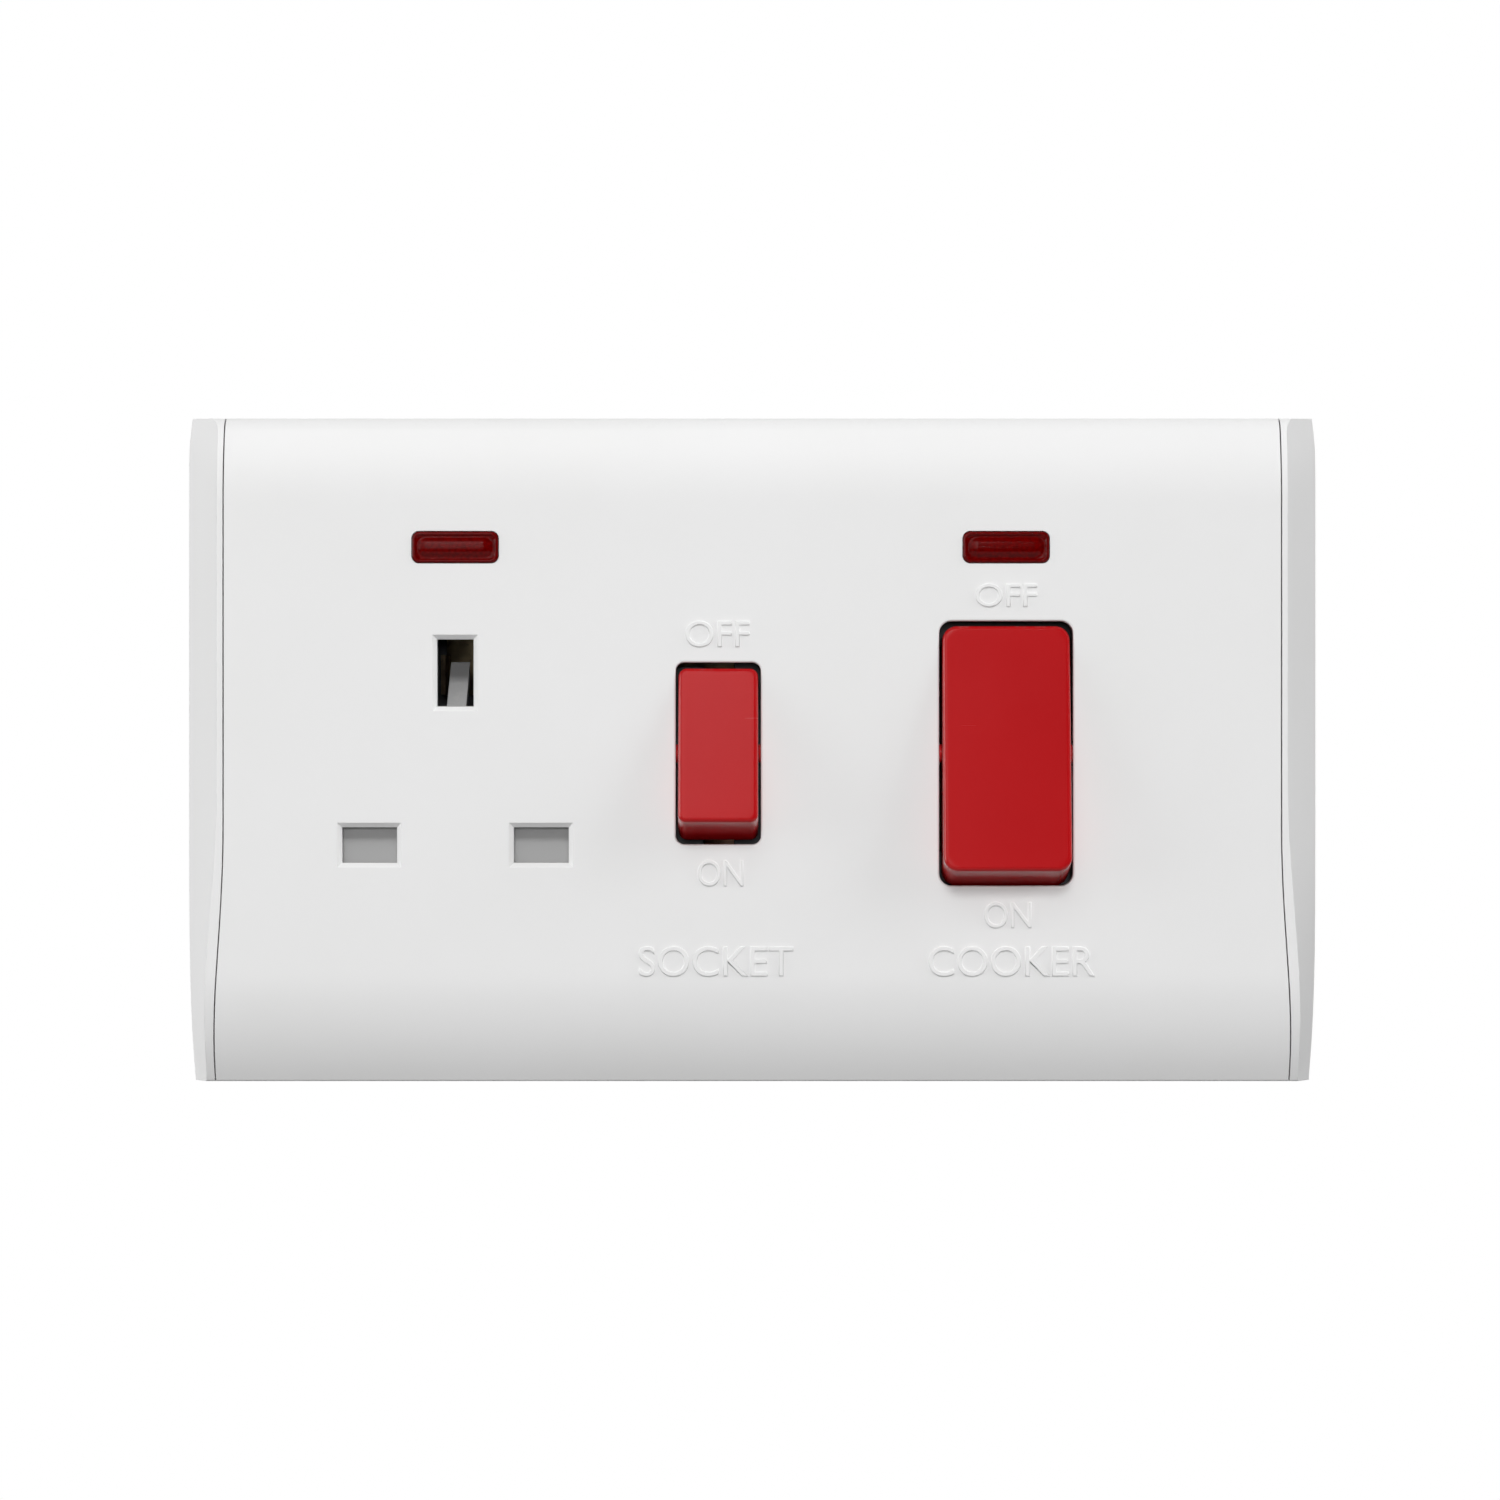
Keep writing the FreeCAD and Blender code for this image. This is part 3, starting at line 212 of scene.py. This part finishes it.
def start_material(name):
    """New material with a Principled shader; returns it, its tree, the shader and its object coordinates."""
    material = bpy.data.materials.new(name)
    material.use_nodes = True
    tree = material.node_tree
    place = tree.nodes.new("ShaderNodeTexCoord")
    return material, tree, tree.nodes["Principled BSDF"], place.outputs["Object"]


def place_group(tree, group, position, **values):
    """Put a shared effect in a material, fed with the position and its own values."""
    node = tree.nodes.new("ShaderNodeGroup")
    node.node_tree = group
    tree.links.new(position, node.inputs["Position"])
    for name, value in values.items():
        node.inputs[name].default_value = value
    return node


def bump(tree, height, distance, strength, shader, soft_edge=0.0):
    """Bump of a height socket into the shader's normal, over edges softened by a small radius."""
    node = tree.nodes.new("ShaderNodeBump")
    node.inputs["Strength"].default_value = strength
    node.inputs["Distance"].default_value = distance
    tree.links.new(height, node.inputs["Height"])
    if soft_edge > 0.0:
        bevel = tree.nodes.new("ShaderNodeBevel")
        bevel.samples = 4
        bevel.inputs["Radius"].default_value = soft_edge
        tree.links.new(bevel.outputs[0], node.inputs["Normal"])
    tree.links.new(node.outputs["Normal"], shader.inputs["Normal"])


def plastic(name, colour, shade, roughness, specular=0.5, grain=0.25, wear=1.0, soft_edge=0.0):
    """Moulded plastic: colour clouding towards shade, smudged and scratched gloss, dust on top and grain."""
    material, tree, shader, position = start_material(name)
    skin = place_group(tree, MOULDED_GRAIN, position)
    use = place_group(tree, HANDLING, position)
    clouded = blend_colour(tree, maths(tree, "MULTIPLY", skin.outputs["Mottle"], CLOUDING), colour, shade)
    dust = maths(tree, "MULTIPLY", use.outputs["Dust"], DUST_COVER * wear)
    tree.links.new(blend_colour(tree, dust, clouded, DUST_COLOUR), shader.inputs["Base Color"])
    worn = maths(tree, "MULTIPLY_ADD", use.outputs["Smudges"], SMUDGE_ROUGHENS * wear, roughness)
    worn = maths(tree, "MULTIPLY_ADD", use.outputs["Scratches"], SCRATCH_ROUGHENS * wear, worn)
    tree.links.new(worn, shader.inputs["Roughness"])
    shader.inputs["IOR"].default_value = PLASTIC_IOR
    shader.inputs["Specular IOR Level"].default_value = specular
    bump(tree, skin.outputs["Height"], GRAIN_DEPTH, grain, shader, soft_edge)
    return material


def metal(name, colour, tarnished, roughness, lines):
    """Metal with clouds of tarnish, small darker spots and drawn lines."""
    material, tree, shader, position = start_material(name)
    effect = place_group(tree, TARNISH, position, Lines=lines)
    clouded = blend_colour(tree, effect.outputs["Cloud"], colour, tarnished)
    spot = tuple(SPOT_BRIGHTNESS * value for value in tarnished[:3]) + (1.0,)
    cover = maths(tree, "MULTIPLY", effect.outputs["Spots"], SPOT_COVER)
    spotted = blend_colour(tree, cover, clouded, spot)
    tree.links.new(spotted, shader.inputs["Base Color"])
    shader.inputs["Metallic"].default_value = 1.0
    rough = maths(tree, "MULTIPLY_ADD", effect.outputs["Cloud"], TARNISH_ROUGHENS, roughness)
    tree.links.new(rough, shader.inputs["Roughness"])
    bump(tree, effect.outputs["Height"], LINE_DEPTH, 0.2, shader, METAL_EDGE)
    return material


def make_red_lens():
    """Deep red window over a fine pebbled back, darker between the pebbles."""
    material, tree, shader, position = start_material("red_lens")
    pebble = tree.nodes.new("ShaderNodeTexVoronoi")
    tree.links.new(position, pebble.inputs["Vector"])
    pebble.inputs["Scale"].default_value = PEBBLES_PER_METRE
    depth = ramp(tree, pebble.outputs["Distance"], 0.1, 0.8)
    colour = blend_colour(tree, depth, (0.13, 0.0, 0.0, 1.0), (0.08, 0.0, 0.0, 1.0))
    tree.links.new(colour, shader.inputs["Base Color"])
    use = place_group(tree, HANDLING, position)
    worn = maths(tree, "MULTIPLY_ADD", use.outputs["Smudges"], 0.08, 0.16)
    tree.links.new(worn, shader.inputs["Roughness"])
    shader.inputs["IOR"].default_value = 1.5
    shader.inputs["Specular IOR Level"].default_value = 0.22
    bump(tree, pebble.outputs["Distance"], PEBBLE_DEPTH, 0.12, shader)
    return material


def make_lamp_glass():
    """Clear glass of the neon lamp, slightly smoked in patches."""
    material, tree, shader, position = start_material("lamp_glass")
    effect = place_group(tree, TARNISH, position)
    colour = blend_colour(tree, effect.outputs["Cloud"], (0.95, 0.93, 0.90, 1.0), (0.80, 0.74, 0.68, 1.0))
    tree.links.new(colour, shader.inputs["Base Color"])
    shader.inputs["Transmission Weight"].default_value = 0.85
    shader.inputs["Roughness"].default_value = 0.08
    return material


def make_resistor():
    """Lacquered resistor: tan body with dark bands at equal steps along its length."""
    material, tree, shader, position = start_material("resistor_body")
    skin = place_group(tree, MOULDED_GRAIN, position)
    along = maths(tree, "WRAP", parts_of(tree, position)[0], BAND_STEP, 0.0)
    stripe = ramp(tree, along, BAND_START, BAND_START + BAND_SOFT_EDGE)
    tan = blend_colour(tree, skin.outputs["Mottle"], (0.55, 0.36, 0.18, 1.0), (0.47, 0.30, 0.14, 1.0))
    banded = blend_colour(tree, stripe, tan, (0.20, 0.05, 0.03, 1.0))
    tree.links.new(banded, shader.inputs["Base Color"])
    shader.inputs["Roughness"].default_value = 0.35
    bump(tree, skin.outputs["Height"], LACQUER_DEPTH, 0.3, shader)
    return material


# Each plastic: its colour, the shade it clouds towards, roughness, and what differs from the usual
DARK_MOULDING = dict(colour=(0.10, 0.10, 0.103, 1.0), shade=(0.075, 0.075, 0.078, 1.0), roughness=0.50,
                     specular=0.3)
PLASTICS = {
    "white_face": dict(colour=(0.80, 0.80, 0.80, 1.0), shade=(0.775, 0.775, 0.77, 1.0), roughness=0.30,
                       wear=0.4, soft_edge=0.12 * MM),
    "white_frame": dict(colour=(0.74, 0.74, 0.71, 1.0), shade=(0.68, 0.68, 0.64, 1.0), roughness=0.5,
                        grain=0.4, soft_edge=0.3 * MM),
    "moulded_base": dict(DARK_MOULDING, grain=0.6, soft_edge=0.4 * MM),
    "grey_carrier": dict(DARK_MOULDING, grain=0.5, soft_edge=0.2 * MM),
    "shutter_plastic": dict(colour=(0.40, 0.40, 0.40, 1.0), shade=(0.36, 0.36, 0.36, 1.0), roughness=0.45,
                            soft_edge=0.2 * MM),
    "plunger_plastic": dict(colour=(0.62, 0.60, 0.54, 1.0), shade=(0.55, 0.53, 0.47, 1.0), roughness=0.4),
    "red_rocker": dict(colour=(0.42, 0.006, 0.008, 1.0), shade=(0.37, 0.004, 0.006, 1.0), roughness=0.20,
                       specular=0.4, grain=0.2, wear=0.5, soft_edge=0.15 * MM),
}

# Each metal: clean colour, tarnished colour, roughness, and drawn lines per metre
METALS = {
    "brass": ((0.55, 0.44, 0.27, 1.0), (0.30, 0.24, 0.16, 1.0), 0.38, 900.0),
    "copper": ((0.84, 0.50, 0.36, 1.0), (0.60, 0.33, 0.22, 1.0), 0.30, 900.0),
    "plated_steel": ((0.68, 0.68, 0.64, 1.0), (0.52, 0.51, 0.44, 1.0), 0.26, 1800.0),
    "spring_steel": ((0.60, 0.60, 0.60, 1.0), (0.44, 0.44, 0.44, 1.0), 0.24, 2400.0),
}

FINISHES = {name: plastic(name, **look) for name, look in PLASTICS.items()}
FINISHES.update({name: metal(name, *look) for name, look in METALS.items()})
FINISHES.update(red_lens=make_red_lens(), lamp_glass=make_lamp_glass(), resistor_body=make_resistor())


# Pieces that keep the CAD's shape

BODY_OF = {node: body for body, nodes in frame["record"]["behaviour"]["bodies"].items() for node in nodes}
SHARP = math.radians(40.0)
AREA_WEIGHT = 80
JOIN_WITHIN = 0.002 * MM
NEON_LENSES = ("socket_neon_lens", "cooker_neon_lens")

# The draft of the plate's and trims' upper and lower edges, in millimetres
LEANING = ("front_plate", "left_end_trim", "right_end_trim")
LEAN = 0.45
LOWER_LEAN_SHARE = 0.6
LEAN_BAND = 3.0
LEAN_DEPTH = 7.0


def points_of(mesh):
    """The mesh's points as rows of three numbers."""
    places = np.empty(len(mesh.vertices) * 3)
    mesh.vertices.foreach_get("co", places)
    return places.reshape(-1, 3)


def add_piece(name, mesh, body, slot_name):
    """New smooth piece from a mesh, in the finish of its slot, riding on a body."""
    mesh.materials.clear()
    mesh.materials.append(FINISHES[slot_name])
    piece = bpy.data.objects.new(name, mesh)
    bpy.context.scene.collection.objects.link(piece)
    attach(piece, body)
    return piece


def shade_smooth(mesh, sharp_angle):
    """Round shading over all edges but those that turn by more than the angle."""
    mesh.polygons.foreach_set("use_smooth", np.ones(len(mesh.polygons), dtype=bool))
    mesh.set_sharp_from_angle(angle=sharp_angle)


def lean_out(mesh):
    """Draft of the upper and lower edge: a point moves outwards by the lean, times how far it lies into the
    band along the edge, times how near it is to the wall."""
    places = points_of(mesh)
    height = np.abs(places[:, 2]) / MM
    depth = -places[:, 1] / MM
    into_band = np.clip((height - PLATE_HALF_HEIGHT) / LEAN_BAND + 1.0, 0.0, 1.0)
    to_wall = np.clip(1.0 - depth / LEAN_DEPTH, 0.0, 1.0)
    lean = np.where(places[:, 2] > 0.0, LEAN, LEAN * LOWER_LEAN_SHARE)
    places[:, 2] += np.sign(places[:, 2]) * lean * into_band * to_wall * MM
    mesh.vertices.foreach_set("co", places.ravel())


def evened(node, slot_name):
    """The node's own surface, its loose triangles joined. Edges under the sharp angle run smoothly, and the
    flats keep their own direction, because each normal is weighted by the area of its faces."""
    mesh = frame["nodes"][node].data.copy()
    work = bmesh.new()
    work.from_mesh(mesh)
    bmesh.ops.remove_doubles(work, verts=work.verts, dist=JOIN_WITHIN)
    work.to_mesh(mesh)
    work.free()
    if node in LEANING:
        lean_out(mesh)
    if "custom_normal" in mesh.attributes:
        mesh.attributes.remove(mesh.attributes["custom_normal"])
    shade_smooth(mesh, SHARP)
    piece = add_piece(node + "_surface", mesh, BODY_OF[node], slot_name)
    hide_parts(node)
    weighted = piece.modifiers.new("weighted", "WEIGHTED_NORMAL")
    weighted.keep_sharp = True
    weighted.weight = AREA_WEIGHT
    return piece


surfaces = {part["node"]: evened(part["node"], part["material_slot"])
            for part in frame["record"]["subparts"] if part["node"] not in NEON_LENSES}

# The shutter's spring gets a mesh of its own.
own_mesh(surfaces["shutter_spring"])


# Raised words, in millimetres

LETTER_RISE = 0.22
LETTER_EDGE = 0.10
LETTER_THINNER = 0.6 * LETTER_EDGE
WORDS = {
    "word_small_off": ("OFF", -4.5, 15.0, 8.3, 3.4),
    "word_small_on": ("ON", -4.1, -15.9, 5.9, 3.4),
    "word_large_off": ("OFF", 32.8, 20.0, 8.0, 3.0),
    "word_large_on": ("ON", 33.0, -21.3, 6.1, 3.4),
    "word_socket": ("SOCKET", -4.7, -27.3, 20.0, 3.9),
    "word_cooker": ("COOKER", 33.5, -27.3, 21.5, 3.9),
}


def raised_word(name, word, x, z, width, height):
    """Word standing off the face by the letter rise, its edge rounded over. The outline is drawn at any
    size, then each point's share of the outline's width and height is carried to the word's own width and
    height about its middle, and its distance from the front is kept."""
    curve = bpy.data.curves.new(name, "FONT")
    curve.body = word
    curve.size = 1.0
    curve.resolution_u = 8
    curve.extrude = 1.0
    raw = bpy.data.objects.new(name + "_outline", curve)
    bpy.context.scene.collection.objects.link(raw)
    bpy.context.view_layer.update()
    scale = height / raw.dimensions.y
    curve.bevel_depth = LETTER_EDGE / scale
    curve.bevel_resolution = 2
    curve.offset = -LETTER_THINNER / scale
    curve.extrude = LETTER_RISE / scale
    mesh = bpy.data.meshes.new_from_object(raw.evaluated_get(bpy.context.evaluated_depsgraph_get()))
    bpy.data.objects.remove(raw)
    drawn = points_of(mesh)
    low, high = drawn.min(axis=0), drawn.max(axis=0)
    share = (drawn - (low + high) / 2) / (high - low)
    behind_front = (high[2] - drawn[:, 2]) * scale
    across, upward = x + share[:, 0] * width, z + share[:, 1] * height
    placed = np.stack([across, behind_front - FACE - LETTER_RISE, upward], axis=1)
    mesh.vertices.foreach_set("co", (placed * MM).ravel())
    mesh.update()
    return add_piece(name, mesh, "plate", "white_face")


for name, (word, x, z, width, height) in WORDS.items():
    raised_word(name, word, x, z, width, height)


# Neon windows, in millimetres: half width, half height and corner, and the flange that holds each inside

WINDOW_HALF = (5.6, 2.05)
WINDOW_CORNER = 0.95
PILLOW_ROUNDNESS = 0.98
FLANGE_HALF = (6.5, 3.0)
FLANGE_CORNER = 0.4
FLANGE_DEPTHS = (6.5, 7.5)
WINDOW_SHARP = math.radians(60.0)
ARC_STEPS = 12

# From the flange to the middle of the window: distance in from its outline, and depth in front of the wall
WINDOW_RIM = ((0.0, 7.5), (0.0, 9.30), (0.0, 9.35), (0.05, 9.55), (0.16, 9.68), (0.30, 9.73), (0.42, 9.70),
              (0.50, 9.60), (0.58, 9.50))
WINDOW_PILLOW = ((0.70, 9.47), (0.80, 9.50), (0.95, 9.60), (1.15, 9.72), (1.4, 9.82), (1.7, 9.89),
                 (1.95, 9.91))


def rounded_ring(x, depth, half_x, half_z, corner):
    """Points around a rounded rectangle on the plate: four quarter circles of the corner radius, whose
    middles lie the corner radius inside the rectangle, joined by its straight sides."""
    turn = np.linspace(0.0, math.pi / 2, ARC_STEPS)
    angle = (turn + np.arange(4)[:, None] * math.pi / 2).ravel()
    side_x = np.repeat([1, -1, -1, 1], ARC_STEPS)
    side_z = np.repeat([1, 1, -1, -1], ARC_STEPS)
    across = x + side_x * (half_x - corner) + corner * np.cos(angle)
    upward = NEON_Z + side_z * (half_z - corner) + corner * np.sin(angle)
    return np.stack([across, np.full(len(angle), -depth), upward], axis=1) * MM


def ring_stack(name, rings):
    """Closed skin through a stack of rings of equal point count, from the wall forwards: each point is
    joined to the next in its ring and in the ring before, and a fan closes the first and the last ring."""
    count = len(rings[0])
    column = np.arange(count)
    follow = (column + 1) % count
    base = np.arange(len(rings) - 1)[:, None] * count
    quads = np.stack([base + column, base + follow, base + count + follow, base + count + column], axis=-1)
    top = (len(rings) - 1) * count
    first = len(rings) * count
    points = np.concatenate(rings + [rings[0].mean(axis=0)[None], rings[-1].mean(axis=0)[None]])
    fan_first = np.stack([follow, column, np.full(count, first)], axis=1)
    fan_last = np.stack([top + column, top + follow, np.full(count, first + 1)], axis=1)
    mesh = bpy.data.meshes.new(name)
    faces = quads.reshape(-1, 4).tolist() + fan_first.tolist() + fan_last.tolist()
    mesh.from_pydata(points.tolist(), [], faces)
    return mesh


def neon_window(name, x):
    """Window of the neon: a flange behind the plate, straight sides, a raised rim just inside them, and an
    oval pillow in the middle. Each ring is a rounded rectangle of the window's size less its inset; the rim's
    corners shrink by half the inset, and the pillow's are almost as round as its height."""
    rings = [rounded_ring(x, depth, *FLANGE_HALF, FLANGE_CORNER) for depth in FLANGE_DEPTHS]
    for inset, depth in WINDOW_RIM:
        half_x, half_z = WINDOW_HALF[0] - inset, WINDOW_HALF[1] - inset
        rings.append(rounded_ring(x, depth, half_x, half_z, WINDOW_CORNER - inset / 2))
    for inset, depth in WINDOW_PILLOW:
        half_x, half_z = WINDOW_HALF[0] - inset, WINDOW_HALF[1] - inset
        rings.append(rounded_ring(x, depth, half_x, half_z, PILLOW_ROUNDNESS * half_z))
    mesh = ring_stack(name, rings)
    shade_smooth(mesh, WINDOW_SHARP)
    return add_piece(name, mesh, "plate", "red_lens")


for label, x in (("socket", SOCKET_X), ("cooker", LARGE_ROCKER_X)):
    window = neon_window(label + "_neon_window", x)
    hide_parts(label + "_neon_lens")


# Floor and world, lengths in metres

FLOOR_Z = -0.25
FLOOR_HALF = 0.5
FLOOR_SEEN = 0.42
FLOOR_BOUNCE = 0.15
SHADOW_NEAR = 0.16
SHADOW_FAR = 0.38
SHADOW_WHITE = 0.25
BEHIND_PLATE = 0.15
MIRRORED_WHITE = 0.5
BACK_LIGHT = 1.7
LOW_LIGHT = 0.03
CARD_LOW = 1.0
CARD_HIGH = 2.3


def seen_directly(tree):
    """One where a camera or glass ray looks at the surface, and, apart from it, one for mirror rays."""
    path = tree.nodes.new("ShaderNodeLightPath")
    looks = maths(tree, "MAXIMUM", path.outputs["Is Camera Ray"], path.outputs["Is Transmission Ray"])
    return looks, path.outputs["Is Glossy Ray"]


def make_floor():
    """Pale floor well below the plate. Looked at, it is lit grey with the plate's shadow close by and turns
    to the white of the background further off; mirror rays see that white behind the plate. It throws less
    light up than it shows, as if black card lay under the plate."""
    mesh = bpy.data.meshes.new("floor")
    corners = [(x * FLOOR_HALF, y * FLOOR_HALF, FLOOR_Z) for x, y in ((-1, -1), (1, -1), (1, 1), (-1, 1))]
    mesh.from_pydata(corners, [], [(0, 1, 2, 3)])
    material, tree, shader, position = start_material("floor")
    path = tree.nodes.new("ShaderNodeLightPath")
    grey = ramp(tree, path.outputs["Is Diffuse Ray"], 0.0, 1.0, FLOOR_SEEN, FLOOR_BOUNCE)
    tree.links.new(grey, shader.inputs["Base Color"])
    shader.inputs["Roughness"].default_value = 0.9
    distance = tree.nodes.new("ShaderNodeVectorMath")
    distance.operation = "LENGTH"
    tree.links.new(stretched(tree, position, 0.0, (1.0, 1.0, 0.0)), distance.inputs[0])
    far = ramp(tree, distance.outputs["Value"], SHADOW_NEAR, SHADOW_FAR, SHADOW_WHITE, 1.0)
    looks, mirrors = seen_directly(tree)
    inward = parts_of(tree, position)[1]
    white_behind = ramp(tree, inward, BEHIND_PLATE, FLOOR_HALF, 0.0, MIRRORED_WHITE)
    behind = maths(tree, "MULTIPLY", mirrors, white_behind)
    white = tree.nodes.new("ShaderNodeEmission")
    turn = tree.nodes.new("ShaderNodeMixShader")
    tree.links.new(maths(tree, "MULTIPLY", far, maths(tree, "MAXIMUM", looks, behind)), turn.inputs[0])
    tree.links.new(shader.outputs[0], turn.inputs[1])
    tree.links.new(white.outputs[0], turn.inputs[2])
    tree.links.new(turn.outputs[0], tree.nodes["Material Output"].inputs["Surface"])
    mesh.materials.append(material)
    floor = bpy.data.objects.new("floor", mesh)
    bpy.context.scene.collection.objects.link(floor)


def make_world():
    """White where it is looked at. As light it is a low even fill and a soft glow behind the plate, so that
    its back is lit too. Mirror rays see the white behind the plate, dimmer to the right, and in front a tall
    card to the left, brighter towards its top at about 37 degrees, with a soft right edge straight ahead."""
    world = bpy.data.worlds.new("studio")
    world.use_nodes = True
    tree = world.node_tree
    back = tree.nodes["Background"]
    back.inputs["Color"].default_value = (1.0, 1.0, 1.0, 1.0)
    place = tree.nodes.new("ShaderNodeTexCoord")
    across, inward, up = parts_of(tree, place.outputs["Generated"])
    glow = ramp(tree, inward, 0.55, 1.0, LOW_LIGHT, BACK_LIGHT)
    card = ramp(tree, up, -0.1, 0.5, CARD_LOW, CARD_HIGH)
    # The card's lower, upper and right edge, how it dims to the left, and its end level with the plate
    edges = ((up, -0.25, -0.05, 0.1, 1.0), (up, 0.6, 0.75, 1.0, 0.03), (across, -0.10, 0.05, 1.0, 0.03),
             (across, -0.5, -0.1, 0.4, 1.0), (inward, -0.1, 0.0, 1.0, 0.0))
    for source, low, high, first, last in edges:
        card = maths(tree, "MULTIPLY", card, ramp(tree, source, low, high, first, last))
    to_right = ramp(tree, across, 0.15, 0.5, 1.0, 0.2)
    behind = maths(tree, "MULTIPLY", ramp(tree, inward, 0.0, 0.15), to_right)
    mirrored = maths(tree, "ADD", card, behind)
    looks, mirrors = seen_directly(tree)
    seen = maths(tree, "MULTIPLY_ADD", mirrors, mirrored, looks)
    rest = maths(tree, "SUBTRACT", 1.0, maths(tree, "MAXIMUM", looks, mirrors))
    tree.links.new(maths(tree, "MULTIPLY_ADD", rest, glow, seen), back.inputs["Strength"])
    bpy.context.scene.world = world


make_floor()
make_world()


# Lamps: degrees to the right and up from straight ahead, width and height in metres, watts, and whether
# the lamp makes a glint or is kept out of reflections, as behind a polarising filter

LAMP_DISTANCE = 1.5
LAMPS = {
    "low_box": (0.0, 5.0, 0.25, 0.25, 8.5, False),
    "front_box": (0.0, 34.0, 0.4, 0.3, 8.9, False),
    "main_box": (-14.0, 48.0, 0.9, 0.7, 3.8, False),
    "left_box": (-85.0, 5.0, 0.8, 0.8, 10.6, True),
    "right_box": (80.0, 22.0, 0.8, 0.8, 12.0, False),
}


def softbox(name, azimuth, elevation, width, height, watts, mirrored):
    """Lamp with a soft rectangle of light, at the lamp distance from the plate and turned to face it."""
    lamp = bpy.data.lights.new(name, "AREA")
    lamp.shape = "RECTANGLE"
    lamp.size = width
    lamp.size_y = height
    lamp.energy = watts
    holder = bpy.data.objects.new(name, lamp)
    bpy.context.scene.collection.objects.link(holder)
    turn, rise = math.radians(azimuth), math.radians(elevation)
    out = LAMP_DISTANCE * math.cos(rise)
    holder.location = (out * math.sin(turn), -out * math.cos(turn), LAMP_DISTANCE * math.sin(rise))
    holder.rotation_euler = (math.pi / 2 - rise, 0.0, turn)
    holder.visible_glossy = mirrored


for name, values in LAMPS.items():
    softbox(name, *values)


# Camera straight in front, in metres

CAMERA_DISTANCE = 0.60
CAMERA_X = -0.0003
FRAME_WIDTH = 0.1938
SENSOR = 36.0
camera_data = bpy.data.cameras.new("camera")
camera_data.sensor_width = SENSOR
camera_data.lens = SENSOR * CAMERA_DISTANCE / FRAME_WIDTH
camera = bpy.data.objects.new("camera", camera_data)
bpy.context.scene.collection.objects.link(camera)
camera.location = (CAMERA_X, -(CAMERA_DISTANCE + FACE * MM), 0.0)
camera.rotation_euler = (math.pi / 2, 0.0, 0.0)
bpy.context.scene.camera = camera
bpy.context.scene.view_settings.view_transform = "Standard"
